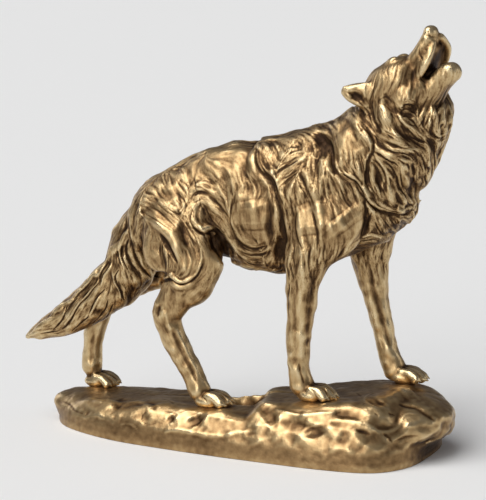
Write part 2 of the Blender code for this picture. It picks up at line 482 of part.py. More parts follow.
def neck_and_head():
    yaw = -18
    s = TRUNK_TOP_SHOULDER_Z - 159.5
    parts = []
    parts.append(tube([(48, 0, 129.5 + s, 21, 27), (58.5, 0, 138.5 + s, 20, 24.5),
                       (67.6, -0.5, 146.6 + s, 19, 24), (73, -1, 155, 18, 21.2), (77.2, -1.5, 163, 17, 19.4),
                       (78.5, -3, 169, 14, 14)], around=36))
    parts.append(ball((70, -3.2, 170.5), (19, 13.6, 12.4), 42, yaw))
    # Upper jaw with the nose at its end
    parts.append(tube([(73, -2.8, 173.4, 10.5, 8.5), (78.3, -4.2, 179.4, 8.2, 5.6),
                       (82.4, -5.4, 185.4, 7.0, 4.5), (85.6, -6.5, 190.8, 6.3, 4.2),
                       (87.4, -7.2, 194.2, 5.2, 3.9)], across=(0.31, 0.95, 0)))
    parts.append(ball((NOSE_X + 0.6, NOSE_Y, NOSE_Z - 0.1), (3.1, 4.2, 3.2), 53, yaw))
    # Lips of the upper jaw
    parts.append(tube([(81, -11.5, 175, 1.6, 2.2), (85, -12.4, 181, 1.6, 2.6), (88, -11.8, 187.5, 1.5, 2.4),
                       (89.5, -9.8, 192.5, 1.4, 1.9)], around=12, across=(0.31, 0.95, 0)))
    parts.append(tube([(88.5, 2.6, 178, 1.8, 2.6), (92, 2.0, 184, 1.9, 2.6), (92.6, -0.4, 190, 1.9, 3.4),
                       (91.4, -3.8, 195, 1.8, 2.4)], around=12, across=(0.31, 0.95, 0)))
    parts.append(tube([(83.6, -4.2, 176.6, 8.4, 4.6), (88, -4.8, 184, 7.4, 3.0), (89.8, -6, 190, 5.8, 2.4)],
                      around=16, across=(0.31, 0.95, 0)))
    # Lower jaw
    tip_x, tip_z = JAW_TIP_X, JAW_TIP_Z
    parts.append(tube([(79, -3.6, 163, 12, 10), (86, -5.2, 168.6, 9.4, 7.2),
                       (tip_x - 5.6, -6.6, tip_z - 5.4, 6.6, 5.6), (tip_x - 1.2, -7.6, tip_z - 1, 5.6, 5.0),
                       (tip_x, -7.9, tip_z, 5.2, 4.8)],
                      across=(0.31, 0.95, 0)))
    # Cheeks and brows
    parts.append(ball((76, -13, 166), (10, 5, 8), 55, yaw))
    parts.append(ball((80, 8.5, 167), (10, 5, 8), 55, yaw))
    parts.append(ball((85, 7.2, 160.8), (12.2, 6.3, 10), 75, yaw))
    parts.append(ball((70.4, -8.4, 182.0), (4.8, 3.4, 3.2), 44, yaw))
    parts.append(ball((72.4, 1.0, 183.0), (4.8, 3.6, 3.2), 44, yaw))
    # Ears laid back
    parts.append(tube([(65, -12, 167, 3.2, 6.4), (59, -13.6, 168.4, 3.0, 6.2), (53.5, -14.6, 169.6, 2.4, 4.6),
                       (49.8, -15, 170.6, 1.4, 2.4)], around=16, across=(0, 1, 0)))
    parts.append(tube([(68, 7.5, 168.4, 3.2, 6.0), (63.4, 9.4, 169, 3.0, 5.2), (58.5, 11, 169.2, 2.2, 3.5),
                       (55, 11.8, 169.4, 1.2, 1.6)], around=16, across=(0, 1, 0)))
    return parts


def paw(x, y):
    """A paw with four toes on the rock at x and y."""
    ground = rock_top(np.array(x + 1.0), np.array(float(y))).item()
    parts = [ball((x - 2, y, ground + 2.6), (PAW_LENGTH * 0.44, PAW_HALF_WIDTH * 0.92, 4.3))]
    for number, share in enumerate((-0.72, -0.26, 0.24, 0.7)):
        reach = PAW_LENGTH * (0.30 if number in (0, 3) else 0.41)
        tip = (x + reach, y + share * PAW_HALF_WIDTH, ground + TOE_RADIUS * 0.8)
        back = (x - 1, y + share * PAW_HALF_WIDTH * 0.75, ground + TOE_RADIUS * 1.6)
        parts.append(tube([(back[0], back[1], back[2], TOE_RADIUS * 0.8, TOE_RADIUS * 0.9),
                           ((back[0] + tip[0]) / 2 + 0.6, (back[1] + tip[1]) / 2, ground + TOE_RADIUS * 1.45,
                            TOE_RADIUS * 0.78, TOE_RADIUS * 0.8),
                           (tip[0], tip[1], tip[2], TOE_RADIUS * 0.8, TOE_RADIUS * 0.85)],
                          around=12, per_gap=3))
    return parts


def legs():
    near, far = NEAR_FOOT_Y, FAR_FOOT_Y
    shift = NEAR_FORE_PAW_X - 38
    parts = [tube([(45, near + 6, 124, 9, 19), (41, near + 2.5, 108, 9, 17),
                   (34.5 + 0.3 * shift, near, 93, 8, 11),
                   (31.8 + 0.5 * shift, near, 82, 6.8, 8.4), (31.1 + 0.6 * shift, near, 69, 6, 7.0),
                   (30 + 0.8 * shift, near, 57, 5.3, 6.1), (29.8 + shift, near, 48, 5.1, 5.5),
                   (30.2 + shift, near, 41, 5.2, 5.2), (31.8 + shift, near, 33, 5.6, 5.8)])]
    shift = FAR_FORE_PAW_X - 72
    parts.append(tube([(54, far - 6, 118, 9, 18), (53, far - 2, 102, 8.5, 13),
                       (53.5 + 0.3 * shift, far, 87, 6.8, 9),
                       (55.5 + 0.5 * shift, far, 76, 6, 7), (57.4 + 0.6 * shift, far, 67, 5.5, 5.8),
                       (59.8 + 0.8 * shift, far, 58, 5, 5.2), (61.8 + shift, far, 49, 4.9, 5.0),
                       (63.8 + shift, far, 42, 5, 5.2), (66.4 + shift, far, 35.5, 5.4, 5.6)]))
    shift = NEAR_HIND_PAW_X + 13.5
    parts.append(tube([(-32, near + 8, 110, 11, 20), (-30, near + 4.5, 98, 11, 20.5),
                       (-26, near + 1.5, 87, 9.5, 18.5),
                       (-25.8 + 0.2 * shift, near, 79, 8, 13.5), (-31.4 + 0.5 * shift, near, 70.5, 6.2, 8.6),
                       (-36.2 + 0.8 * shift, near, 62, 5, 7.5), (-34.1 + shift, near, 53.5, 4.6, 6.5),
                       (-29.1 + shift, near, 44.5, 4.5, 5.7), (-24.2 + shift, near, 35.5, 4.6, 5.4),
                       (-19.8 + shift, near, 26, 5, 5.6)]))
    shift = FAR_HIND_PAW_X + 88
    parts.append(tube([(-42, far - 8, 106, 11, 17), (-49, far - 4, 93, 10, 17),
                       (-58 + 0.2 * shift, far - 1, 80, 8, 13),
                       (-70 + 0.5 * shift, far, 70, 6, 8.5), (-80.4 + 0.8 * shift, far, 63.5, 4.8, 5.8),
                       (-86.5 + shift, far, 55, 4.6, 5.9), (-90.1 + shift, far, 45, 4.5, 5.5),
                       (-92 + shift, far, 35, 4.5, 5.1), (-92.6 + shift, far, 24, 4.8, 5.2)]))
    parts += paw(NEAR_FORE_PAW_X, near) + paw(FAR_FORE_PAW_X, far)
    parts += paw(NEAR_HIND_PAW_X, near) + paw(FAR_HIND_PAW_X, far)
    return parts


def tail():
    x, z = TAIL_TIP_X, TAIL_TIP_Z
    return tube([(-51, 0, 106, 9, 12), (-59.3, 0, 93, 9.5, 13.6), (-64.5, 0, 79, 10, 12.6),
                 (-74, -0.5, 69, 9.6, 11.4), (-88, -1, 58.6, 8.4, 9.6), (x + 18.5, -1.5, z + 8.5, 6.6, 7.6),
                 (x + 7, -2, z + 3, 4.2, 4.6), (x, -2, z, 1.6, 1.7)], around=28)


def join(name, parts):
    """Many closed pieces put into one mesh object."""
    points, faces, start = [], [], 0
    for part_points, part_faces in parts:
        points.append(part_points * MM)
        faces += [tuple(i + start for i in face) for face in part_faces]
        start += len(part_points)
    mesh = bpy.data.meshes.new(name)
    mesh.from_pydata(np.vstack(points).tolist(), [], faces)
    work = bmesh.new()
    work.from_mesh(mesh)
    bmesh.ops.recalc_face_normals(work, faces=work.faces)
    work.to_mesh(mesh)
    work.free()
    return bpy.data.objects.new(name, mesh)


def finished_mesh(obj):
    """The mesh that the object's modifiers give."""
    graph = bpy.context.evaluated_depsgraph_get()
    graph.update()
    return bpy.data.meshes.new_from_object(obj.evaluated_get(graph))


def fused(name, parts, voxel, rounds):
    """Closed pieces melted into one skin and smoothed."""
    obj = join(name, parts)
    bpy.context.scene.collection.objects.link(obj)
    remesh = obj.modifiers.new("skin", "REMESH")
    remesh.mode = "VOXEL"
    remesh.voxel_size = voxel * MM
    remesh.use_smooth_shade = True
    soften = obj.modifiers.new("soften", "SMOOTH")
    soften.factor = 0.5
    soften.iterations = rounds
    mesh = finished_mesh(obj)
    bpy.data.objects.remove(obj)
    return mesh


# Directions in which the coat lies: where, and which way
COAT = [((52, -20, 150), (0.3, 0, -0.9)), ((60, -18, 165), (0.5, -0.1, -0.8)),
        ((80, -16, 158), (0.55, 0, -0.8)), ((88, -10, 140), (0.3, 0.1, -0.9)),
        ((75, -18, 130), (0.35, 0.1, -0.9)), ((55, -22, 125), (0.1, 0, -1)),
        ((40, -22, 130), (-0.2, 0, -1)), ((15, -22, 120), (-0.6, 0, -0.7)), ((0, 0, 146), (-1, 0, -0.2)),
        ((-20, -20, 115), (-0.5, 0, -0.8)), ((-35, -20, 100), (-0.35, 0, -0.9)),
        ((-48, -14, 105), (-0.6, 0, -0.8)), ((-30, -24, 85), (-0.5, 0, -0.8)),
        ((-75, -8, 70), (-0.75, 0, -0.6)), ((-100, -4, 50), (-0.85, 0, -0.4)),
        ((-60, -8, 92), (-0.6, 0, -0.8)), ((70, -10, 105), (-0.2, 0, -1)), ((5, -14, 90), (-0.8, 0, -0.4))]


def coat_direction(point, normal):
    """The way the coat lies at a point, drawn from the rows above and laid onto the surface."""
    total = Vector((0, 0, 0))
    for place, way in COAT:
        gap = (Vector((point.x, -abs(point.y), point.z)) - Vector(place)).length
        total += Vector(way).normalized() / (gap + 4) ** 3
    if point.y > 0:
        total.y = -total.y
    total -= normal * total.dot(normal)
    return total.normalized()


def locks(mesh, seeds, radius, length, rise, seed):
    """Tapered locks of fur that lie along the coat and stand up a little from the body."""
    rng = np.random.default_rng(seed)
    places, _ = vertex_arrays(mesh)
    tree = skin_tree(places, mesh)
    out = []
    for x, y, z, size in seeds:
        place, normal, _, _ = tree.find_nearest(Vector((x, y, z)))
        if place is None:
            continue
        bend = rng.uniform(-0.5, 0.5)
        rows = []
        steps = 7
        for i in range(steps + 1):
            t = i / steps
            swell = 0.35 + 0.75 * math.sin(math.pi * min(t * 0.8 + 0.12, 1)) ** 0.8
            swell = radius * size * swell * (1 - 0.75 * t ** 4)
            centre = place + normal * (rise * size * radius * (0.1 + 0.9 * t) - swell * 0.55)
            rows.append((centre.x, centre.y, centre.z, swell, swell * 0.9))
            way = coat_direction(place, normal)
            side = normal.cross(way)
            step = (way + side * bend * math.sin(math.pi * 2 * t)) * (length * size / steps)
            place, normal, _, _ = tree.find_nearest(place + step)
        out.append(tube(rows, around=10, per_gap=2, domes=2, across=(0.2, 0.9, 0.3)))
    return out


def lock_seeds():
    """Where locks start: the front of the chest and throat, the tail and the belly, each with its size."""
    rng = np.random.default_rng(5)
    seeds = []
    for height in range(7):
        for turn in range(-2, 3):
            angle = math.radians(turn * 22 + 11 * (height % 2))
            x = 64 + height * 2.2 + (24 - height) * math.cos(angle)
            y = (21 - height * 0.6) * math.sin(angle)
            z = 120 + height * 7 + 3 * math.cos(angle) + rng.uniform(-2, 2)
            seeds.append((x, y, z, rng.uniform(0.4, 0.7)))
    for side in (-1, 1):
        for row in range(7):
            for place in (-1, 0, 1):
                seeds.append((-62 - row * 8 + place * 4, side * 9, 96 - row * 8 + place * 5,
                              rng.uniform(0.5, 0.75)))
        for place in range(7):
            seeds.append((-2 + place * 5, side * 9, 86, rng.uniform(0.5, 0.7)))
    return seeds


def cleaned(mesh, name):
    """One closed body without stray pieces: the biggest joined skin is kept."""
    work = bmesh.new()
    work.from_mesh(mesh)
    work.verts.ensure_lookup_table()
    seen = set()
    best = []
    for start in work.verts:
        if start.index in seen:
            continue
        group, waiting = [], [start]
        seen.add(start.index)
        while waiting:
            vert = waiting.pop()
            group.append(vert)
            for edge in vert.link_edges:
                other = edge.other_vert(vert)
                if other.index not in seen:
                    seen.add(other.index)
                    waiting.append(other)
        if len(group) > len(best):
            best = group
    keep = set(v.index for v in best)
    bmesh.ops.delete(work, geom=[v for v in work.verts if v.index not in keep], context="VERTS")
    out = bpy.data.meshes.new(name)
    work.to_mesh(out)
    work.free()
    return out


def vertex_arrays(mesh):
    """Places and normals of a mesh's vertices, in millimetres."""
    count = len(mesh.vertices)
    places = np.empty(count * 3)
    normals = np.empty(count * 3)
    mesh.vertices.foreach_get("co", places)
    mesh.vertices.foreach_get("normal", normals)
    return places.reshape(-1, 3) / MM, normals.reshape(-1, 3)


def skin_tree(places, mesh):
    polygons = [tuple(polygon.vertices) for polygon in mesh.polygons]
    return BVHTree.FromPolygons([Vector(place) for place in places], polygons)


def cast_stroke(tree, pixels):
    """Points of the body that lie behind the given pixels of the photo."""
    turn, lift = math.radians(VIEW_TURN), math.radians(VIEW_LIFT)
    ahead = Vector((-math.sin(turn) * math.cos(lift), math.cos(turn) * math.cos(lift), -math.sin(lift)))
    right = Vector((math.cos(turn), math.sin(turn), 0))
    up = right.cross(ahead)
    eye = Vector(VIEW_AIM) - ahead * VIEW_DISTANCE
    scale = VIEW_PIXELS_PER_MM * VIEW_DISTANCE
    found = []
    for across, down in pixels:
        ray = ahead + right * ((across - VIEW_AIM_PIXEL[0]) / scale)
        ray -= up * ((down - VIEW_AIM_PIXEL[1]) / scale)
        place, _, _, _ = tree.ray_cast(eye, ray.normalized())
        if place is not None:
            found.append(tuple(place))
    return np.array(found)


def stroke_depth(places, normals, line, kind, width, height, side):
    """How far one stroke lifts or sinks each vertex along its normal."""
    push = np.zeros(len(places))
    low, high = line.min(0) - 3 * width, line.max(0) + 3 * width
    near = np.flatnonzero(np.all((places > low) & (places < high), axis=1))
    if len(near) == 0 or len(line) < 2:
        return push
    here = places[near]
    best = np.full(len(near), 1e9)
    signed = np.zeros(len(near))
    for start, end in zip(line[:-1], line[1:]):
        along = end - start
        share = np.clip(((here - start) @ along) / (along @ along + 1e-9), 0, 1)
        gap = here - start - share[:, None] * along
        distance = np.linalg.norm(gap, axis=1)
        closer = distance < best
        best[closer] = distance[closer]
        left = np.cross(normals[near], along / (np.linalg.norm(along) + 1e-9)) * side
        signed[closer] = np.einsum("ij,ij->i", gap, left)[closer]
    if kind == "step":
        raised = height * np.exp(-((signed - 0.5 * width) / width) ** 2) * (signed > -0.3 * width)
        sunk = -0.9 * height * np.exp(-((signed + 0.55 * width) / (0.5 * width)) ** 2)
        ends = np.exp(-np.maximum(best - np.abs(signed), 0) ** 2 / width ** 2)
        push[near] = (raised + sunk) * ends * (best < 3 * width)
    else:
        push[near] = height * np.exp(-(best / width) ** 2)
    return push


def carve(mesh, strokes, mirrored):
    """The strokes pressed into the near side, and into the far side too where the coat is the same there."""
    places, normals = vertex_arrays(mesh)
    tree = skin_tree(places, mesh)
    push = np.zeros(len(places))
    for kind, width, height, pixels in strokes:
        line = cast_stroke(tree, pixels)
        if len(line) < 2:
            continue
        line = smooth_rows(line, 3)
        push += stroke_depth(places, normals, line, kind, width, height, 1)
        if mirrored:
            push += stroke_depth(places, normals, line * np.array([1, -1, 1]), kind, width, height, -1)
    places += normals * push[:, None]
    mesh.vertices.foreach_set("co", (places * MM).ravel())
    mesh.update()


def cut_flat(mesh, name):
    """Everything under z = 0 taken off and the cut closed, so that the underside is truly flat."""
    work = bmesh.new()
    work.from_mesh(mesh)
    geometry = work.verts[:] + work.edges[:] + work.faces[:]
    cut = bmesh.ops.bisect_plane(work, geom=geometry, plane_co=(0, 0, 0), plane_no=(0, 0, 1),
                                 clear_inner=True)
    rim = [item for item in cut["geom_cut"] if isinstance(item, bmesh.types.BMEdge)]
    bmesh.ops.contextual_create(work, geom=rim)
    bmesh.ops.triangulate(work, faces=[face for face in work.faces if len(face.verts) > 4])
    bmesh.ops.recalc_face_normals(work, faces=work.faces)
    out = bpy.data.meshes.new(name)
    work.to_mesh(out)
    work.free()
    return out


def mesh_piece(mesh):
    """Points and faces of a finished mesh, ready to be joined with others."""
    places, _ = vertex_arrays(mesh)
    return places, [tuple(p.vertices) for p in mesh.polygons]


def roughen(mesh):
    """Small lumps and hollows on the sides of the rock; its top stays smoother."""
    places, normals = vertex_arrays(mesh)
    x, y, z = places.T
    side = 0.35 + 0.65 * np.clip(1 - normals[:, 2], 0, 1)
    side = side * blend(BASE_BAND_HEIGHT - 1, BASE_BAND_HEIGHT + 3, z)
    lumps = bumps(x, y, z * 1.5, 11, 21)
    lumps = 1 - np.abs(lumps) * 1.4
    push = side * (ROCK_ROUGHNESS * 0.55 * lumps + ROCK_ROUGHNESS * 0.3 * bumps(x, y, z, 5.5, 22))
    push = np.where(normals[:, 2] > -0.7, push, 0)
    places += normals * push[:, None]
    mesh.vertices.foreach_set("co", (places * MM).ravel())
    mesh.update()


def main():
    clear_scene()
    body = [trunk()] + neck_and_head() + legs() + [tail()]
    skin = fused("skin", body, VOXEL, 5)
    fur = locks(skin, lock_seeds(), LOCK_RADIUS, LOCK_LENGTH, LOCK_RISE, 11)
    stone = fused("stone", rock(), VOXEL, 5)
    roughen(stone)
    carve(stone, ROCK_STROKES, False)
    whole = fused("whole", body + fur + [mesh_piece(stone)], VOXEL, 2)
    solid = cleaned(whole, "solid")
    carve(solid, BODY_STROKES + TAIL_STROKES, True)
    carve(solid, HEAD_STROKES + LEG_STROKES, False)
    draft = bpy.data.objects.new("draft", solid)
    bpy.context.scene.collection.objects.link(draft)
    reduce = draft.modifiers.new("fewer faces", "DECIMATE")
    reduce.ratio = min(1.0, TRIANGLES / (2 * len(solid.polygons)))
    reduce.use_collapse_triangulate = True
    light = finished_mesh(draft)
    bpy.data.objects.remove(draft)
    obj = bpy.data.objects.new("wolf_figurine", cut_flat(light, "wolf_figurine"))
    home = bpy.data.collections.new("Wolf figurine")
    bpy.context.scene.collection.children.link(home)
    home.objects.link(obj)
    obj.data.materials.append(bronze())


main()
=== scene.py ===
"""A howling wolf on a rock, cast in one piece with a rubbed bronze finish.

Sizes are in millimetres and are turned into metres when a mesh is made. The wolf faces +X, its left side is
+Y and Z is up. The rock's flat underside lies at z = 0.
"""

import math

import bmesh
import bpy
import numpy as np
from mathutils import Matrix, Vector
from mathutils.bvhtree import BVHTree


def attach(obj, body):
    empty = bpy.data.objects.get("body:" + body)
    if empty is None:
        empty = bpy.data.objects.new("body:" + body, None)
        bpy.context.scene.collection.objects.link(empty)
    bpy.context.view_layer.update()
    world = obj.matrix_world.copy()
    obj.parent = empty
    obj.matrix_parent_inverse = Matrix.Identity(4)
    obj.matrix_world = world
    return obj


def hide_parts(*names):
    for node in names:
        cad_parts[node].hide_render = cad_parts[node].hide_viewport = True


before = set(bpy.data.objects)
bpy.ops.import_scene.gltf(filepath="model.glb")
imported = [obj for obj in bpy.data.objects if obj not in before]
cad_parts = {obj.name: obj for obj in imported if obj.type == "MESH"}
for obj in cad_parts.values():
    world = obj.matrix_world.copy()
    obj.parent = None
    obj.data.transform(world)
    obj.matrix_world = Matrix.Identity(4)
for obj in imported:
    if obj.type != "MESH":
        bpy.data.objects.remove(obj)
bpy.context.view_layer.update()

MM = 0.001

# The photograph's viewpoint: turn and lift in degrees, distance and aim in millimetres, and the place of the
# aim in the picture
VIEW_TURN = 20.0
VIEW_LIFT = 9.0
VIEW_DISTANCE = 900.0
VIEW_AIM = (0.0, 0.0, 97.0)
VIEW_PIXELS_PER_MM = 2.1
VIEW_AIM_PIXEL = (252.0, 240.0)
PICTURE_WIDTH = 486
PICTURE_HEIGHT = 500
SENSOR_WIDTH = 36.0

# Fineness of the meshes
DRAFT_VOXEL = 1.15
WOLF_VOXEL = 0.45
ROCK_VOXEL = 0.75

# The rock
BASE_OUTLINE = [(-105, 4), (-96.5, -9), (-82, -19), (-60, -28), (-35, -33), (-8, -37), (20, -40), (45, -42),
                (66, -41), (78, -35), (86, -22), (89, -4), (90, 14), (86, 28), (70, 36), (40, 36), (10, 34),
                (-20, 33), (-50, 33), (-80, 32), (-98, 28), (-108.5, 17)]
BASE_BAND_HEIGHT = 7.5
REAR_TOP_Z = 15.0
MIDDLE_TOP_Z = 19.5
STEP_X = 14.0
STEP_SLANT = 0.2
STEP_RISE = 5.5
FRONT_TOP_Z = 31.0
ROCK_ROUGHNESS = 1.8

# Paws
NEAR_FORE_PAW_X = 38.0
FAR_FORE_PAW_X = 72.0
NEAR_HIND_PAW_X = -13.5
FAR_HIND_PAW_X = -88.0
NEAR_FOOT_Y = -18.5
FAR_FOOT_Y = 17.0
PAW_LENGTH = 20.0
PAW_HALF_WIDTH = 7.6
TOE_RADIUS = 2.9

# Locks of fur that stand up from the coat
LOCK_RADIUS = 2.3
LOCK_LENGTH = 15.0
LOCK_RISE = 0.55

# Carved strokes: how fast they thin out at the ends, the widths that count as narrow and as wide, how much of
# a groove's depth stays dark, and how deep the tail's and the rock's are cut
STROKE_TAPER = 4.0
NARROW_TO_WIDE = (1.4, 3.6)
INK_LIMIT = 0.3
TAIL_STRENGTH = 2.4
ROCK_STRENGTH = 0.75

# Fur: the height of each relief, the size of its noise with the length over which it is drawn out along the
# grain, and the hairs that only the finish shows
LUMP_HEIGHT = 1.1
KNOB_HEIGHT = 0.35
SWIRL_HEIGHT = 0.32
TUFT_HEIGHT = 0.10
HAIR_HEIGHT = 0.075
SWIRL_SIZE = (4.0, 22.0)
TUFT_SIZE = (1.7, 12.0)
HAIR_SIZE = (0.85, 6.0)
GRAIN_CELL = 3.0
HAIR_WIDTH = 0.55
HAIR_LENGTH = 5.0

# The finish: tones from dark hollows to rubbed edges, what the patina takes from each kind of hollow, and
# painted shade
TONES = [(0.05, (0.030, 0.015, 0.007)), (0.34, (0.135, 0.074, 0.030)), (0.52, (0.32, 0.20, 0.090)),
         (0.72, (0.55, 0.385, 0.19)), (1.0, (0.73, 0.57, 0.33))]
RUBBED_LEVEL = 0.54
FINE_SHARE = 1.3
MIDDLE_SHARE = 0.40
BROAD_SHARE = 0.13
INK_SHARE = 0.9
# painted shade on surfaces that face down
UNDERSIDE_SHADE = 0.22
# how much darker the rock's bottom band is made
FOOT_SHARE = 0.12
# painted shade: the legs and tail made darker all over
LIMB_SHADE = 0.09
LIMB_CONTRAST = 0.8
ROCK_CONTRAST = 0.7

# Where the wolf's skin is cut into pieces
HEAD_FROM_Z = 141
BODY_FROM_Z = 74
CHEST_FROM_X = 14
RUMP_TO_X = -6
FORELEGS_FROM_X = 8

# The stage: suns as name, way towards the sun, width in degrees and strength
SUNS = [("key", (-0.32, -0.42, 0.84), 54, 2.4), ("front", (-0.16, -0.93, 0.34), 34, 0.95),
        ("left rim", (-0.85, 0.5, 0.25), 30, 0.25), ("right rim", (0.95, 0.3, 0.25), 30, 0.2)]
ROOM_LIGHT = (0.12, 0.12, 0.13, 1.0)
FLOOR_COLOUR = (0.88, 0.88, 0.87, 1.0)
FLOOR_HALF = 30.0
FLOOR_Z = -0.0002

# Trunk: stations from rump to chest, as x, y, z, half width and half depth
TRUNK = [(-58, 0, 95, 11, 10), (-51, 0, 100, 15.5, 17), (-42, 0, 105.5, 18, 21.8), (-27, 0, 111, 18.5, 24),
         (-10, 0, 115.3, 18.5, 27.8), (4, 0, 114, 20.5, 31.6), (19, 0, 115.8, 22, 32.6),
         (36, 0, 121, 22.5, 31.6), (49, 0, 126, 21.5, 31.4), (58, 0, 130.5, 19.5, 28.6),
         (64, 0, 136.5, 16.5, 22.6), (68.5, 0, 141, 12.5, 15.4)]
NECK = [(48, 0, 129.5, 21, 27), (58.5, 0, 138.5, 20, 24.5), (67.6, -0.5, 146.6, 19, 24),
        (73, -1, 155, 18, 21.2), (77.2, -1.5, 163, 17, 19.4), (78.5, -3, 169, 14, 14)]
TAIL = [(-51, 0, 106, 9, 12), (-59.3, 0, 93, 9.5, 13.6), (-64.5, 0, 79, 10, 12.6),
        (-74, -0.5, 69, 9.6, 11.4), (-88, -1, 58.6, 8.4, 9.6), (-100, -1.5, 50.5, 6.6, 7.6),
        (-111.5, -2, 45, 4.2, 4.6), (-118.5, -2, 42, 1.6, 1.7)]

# Carving: strokes traced on the photo, in its pixels. Each row is a kind, a width and a height in
# millimetres, and a list of points for each stroke of that kind. They are cast onto the body.
BODY_STROKES = [
    ("step", 2.6, 1.2, [(131, 214), (130, 228), (133, 240), (136, 252), (142, 265), (150, 275)]),
    ("groove", 2.2, -1.9, [(160, 235), (166, 245), (172, 252), (177, 262)]),
    ("groove", 1.2, -0.9, [(163, 240), (161, 250), (163, 262), (167, 276)], [(291, 242), (289, 255),
     (288, 268), (290, 280)]),
    ("ridge", 4.0, 1.0, [(148, 232), (147, 245), (151, 258), (157, 268)]),
    ("ridge", 3.0, 1.3, [(152, 222), (165, 232), (174, 240), (181, 255), (184, 268)]),
    ("groove", 0.9, -0.7, [(143, 212), (153, 218), (163, 225), (172, 231)], [(147, 205), (158, 211),
     (168, 220), (176, 227)]),
    ("groove", 0.9, -0.6, [(152, 199), (160, 206), (170, 214), (178, 221)]),
    ("groove", 1.1, -1.1, [(167, 207), (173, 212), (179, 214), (184, 208)]),
    ("groove", 1.0, -0.9, [(176, 193), (182, 198), (186, 205), (184, 212)], [(352, 150), (354, 162),
     (356, 173)], [(358, 155), (360, 165), (363, 176)], [(379, 214), (385, 222), (392, 230)], [(389, 215),
     (395, 222), (401, 227)], [(375, 222), (379, 230), (384, 236)]),
    ("ridge", 3.4, 1.0, [(169, 184), (173, 194), (177, 202)], [(321, 203), (322, 220), (321, 236)]),
    ("groove", 2.6, -1.1, [(181, 222), (183, 235), (187, 245)]),
    ("ridge", 1.6, 0.9, [(190, 229), (196, 236), (200, 248), (202, 258), (199, 268)]),
    ("ridge", 1.6, 0.8, [(186, 248), (191, 260), (189, 271), (182, 278)]),
    ("step", 2.2, 1.5, [(160, 284), (166, 279), (172, 278), (180, 283), (189, 281), (197, 275),
     (201, 266)]),
    ("groove", 1.8, -2.0, [(162, 283), (168, 279)]),
    ("groove", 3.2, -2.6, [(209, 231), (214, 240), (219, 250), (224, 260)]),
    ("step", 2.6, 1.8, [(196, 228), (204, 232), (210, 229), (216, 228), (224, 234), (232, 244), (241, 256),
     (247, 262)]),
    ("groove", 3.4, -2.2, [(214, 236), (222, 246), (232, 256)]),
    ("groove", 1.3, -1.2, [(191, 198), (196, 192), (204, 192), (211, 198), (220, 206), (229, 217)],
     [(367, 168), (368, 182), (374, 192), (381, 202)], [(355, 243), (364, 239), (373, 238), (382, 240)]),
    ("groove", 1.2, -1.0, [(198, 207), (203, 204), (207, 212), (213, 222), (222, 229)]),
    ("groove", 1.2, -1.1, [(193, 209), (190, 219), (194, 228), (203, 234)], [(368, 160), (374, 166),
     (378, 176), (379, 186), (381, 195), (384, 203)]),
    ("ridge", 1.2, 0.8, [(196, 201), (203, 198), (210, 205), (219, 214), (228, 223)], [(194, 214),
     (195, 222), (201, 229)]),
    ("groove", 1.6, -1.4, [(233, 199), (231, 214), (233, 229), (238, 240), (246, 247), (255, 250),
     (264, 247)]),
    ("groove", 2.4, -1.5, [(268, 199), (270, 214), (269, 230), (270, 246)]),
    ("ridge", 8.0, 1.5, [(249, 200), (252, 215), (254, 230)]),
    ("step", 3.0, 1.3, [(258, 150), (259, 162), (262, 170), (268, 175), (273, 181), (276, 190), (279, 200),
     (283, 210), (285, 225), (286, 240), (287, 256)]),
    ("groove", 1.8, -1.6, [(259, 152), (260, 162), (264, 170), (270, 175), (275, 184), (278, 196),
     (282, 208), (284, 224), (285, 240), (286, 256)]),
    ("groove", 3.2, -2.0, [(280, 240), (279, 250), (278, 262)]),
    ("groove", 2.2, -1.6, [(258, 150), (262, 157), (265, 165), (271, 172)]),
    ("groove", 2.8, -2.3, [(315, 135), (322, 138), (328, 146), (331, 155), (332, 165), (336, 173)]),
    ("groove", 4.2, -1.3, [(318, 141), (321, 150), (318, 158)]),
    ("ridge", 1.7, 1.5, [(323, 131), (330, 140), (334, 150), (335, 160), (338, 170), (343, 175)]),
    ("step", 2.0, 1.3, [(342, 173), (350, 177), (357, 181), (362, 188), (367, 196)]),
    ("ridge", 5.0, 1.1, [(345, 130), (350, 145), (352, 160)]),
    ("ridge", 3.0, 0.9, [(359, 134), (366, 143), (370, 150)]),
    ("step", 2.0, 1.4, [(370, 193), (366, 185), (366, 172), (367, 160), (371, 152), (372, 142), (368, 132),
     (360, 121)]),
    ("ridge", 1.8, 0.8, [(372, 172), (375, 184), (379, 193)]),
    ("groove", 1.4, -1.4, [(386, 162), (392, 168), (396, 177), (399, 187), (404, 196)]),
    ("ridge", 3.0, 1.1, [(385, 175), (388, 188), (392, 200)]),
    ("ridge", 2.4, 1.6, [(404, 165), (406, 177), (408, 187)]),
    ("groove", 1.3, -1.1, [(400, 168), (401, 180), (404, 192)], [(412, 160), (414, 172), (412, 185)],
     [(341, 190), (345, 200), (350, 207)]),
    ("step", 2.6, 1.9, [(366, 196), (372, 203), (378, 208), (387, 212), (397, 213), (405, 212),
     (412, 209)]),
    ("groove", 1.6, -1.1, [(372, 212), (368, 222), (365, 233)], [(311, 246), (309, 258), (309, 271)]),
    ("ridge", 1.1, 1.2, [(357, 240), (363, 236), (371, 234), (380, 236), (388, 236)]),
    ("groove", 1.1, -0.9, [(273, 177), (280, 170), (290, 165), (300, 160)], [(279, 190), (284, 182),
     (292, 176), (300, 172)]),
    ("groove", 2.0, -1.3, [(299, 173), (304, 181), (307, 190), (310, 198)]),
    ("ridge", 6.0, 1.5, [(300, 205), (306, 222), (308, 235)]),
    ("groove", 1.6, -1.3, [(313, 212), (316, 225), (318, 238), (317, 250)]),
    ("groove", 1.4, -1.0, [(297, 212), (296, 226), (297, 238), (301, 247)]),
    ("ridge", 8.0, 1.3, [(340, 214), (350, 226)]),
    ("groove", 2.6, -1.7, [(365, 200), (366, 212), (365, 225), (360, 236)]),
    ("ridge", 2.2, 0.9, [(302, 252), (301, 263), (303, 275)]),
    ("groove", 1.0, -0.7, [(330, 200), (333, 210), (335, 219)], [(322, 185), (325, 196), (328, 207)]),
]

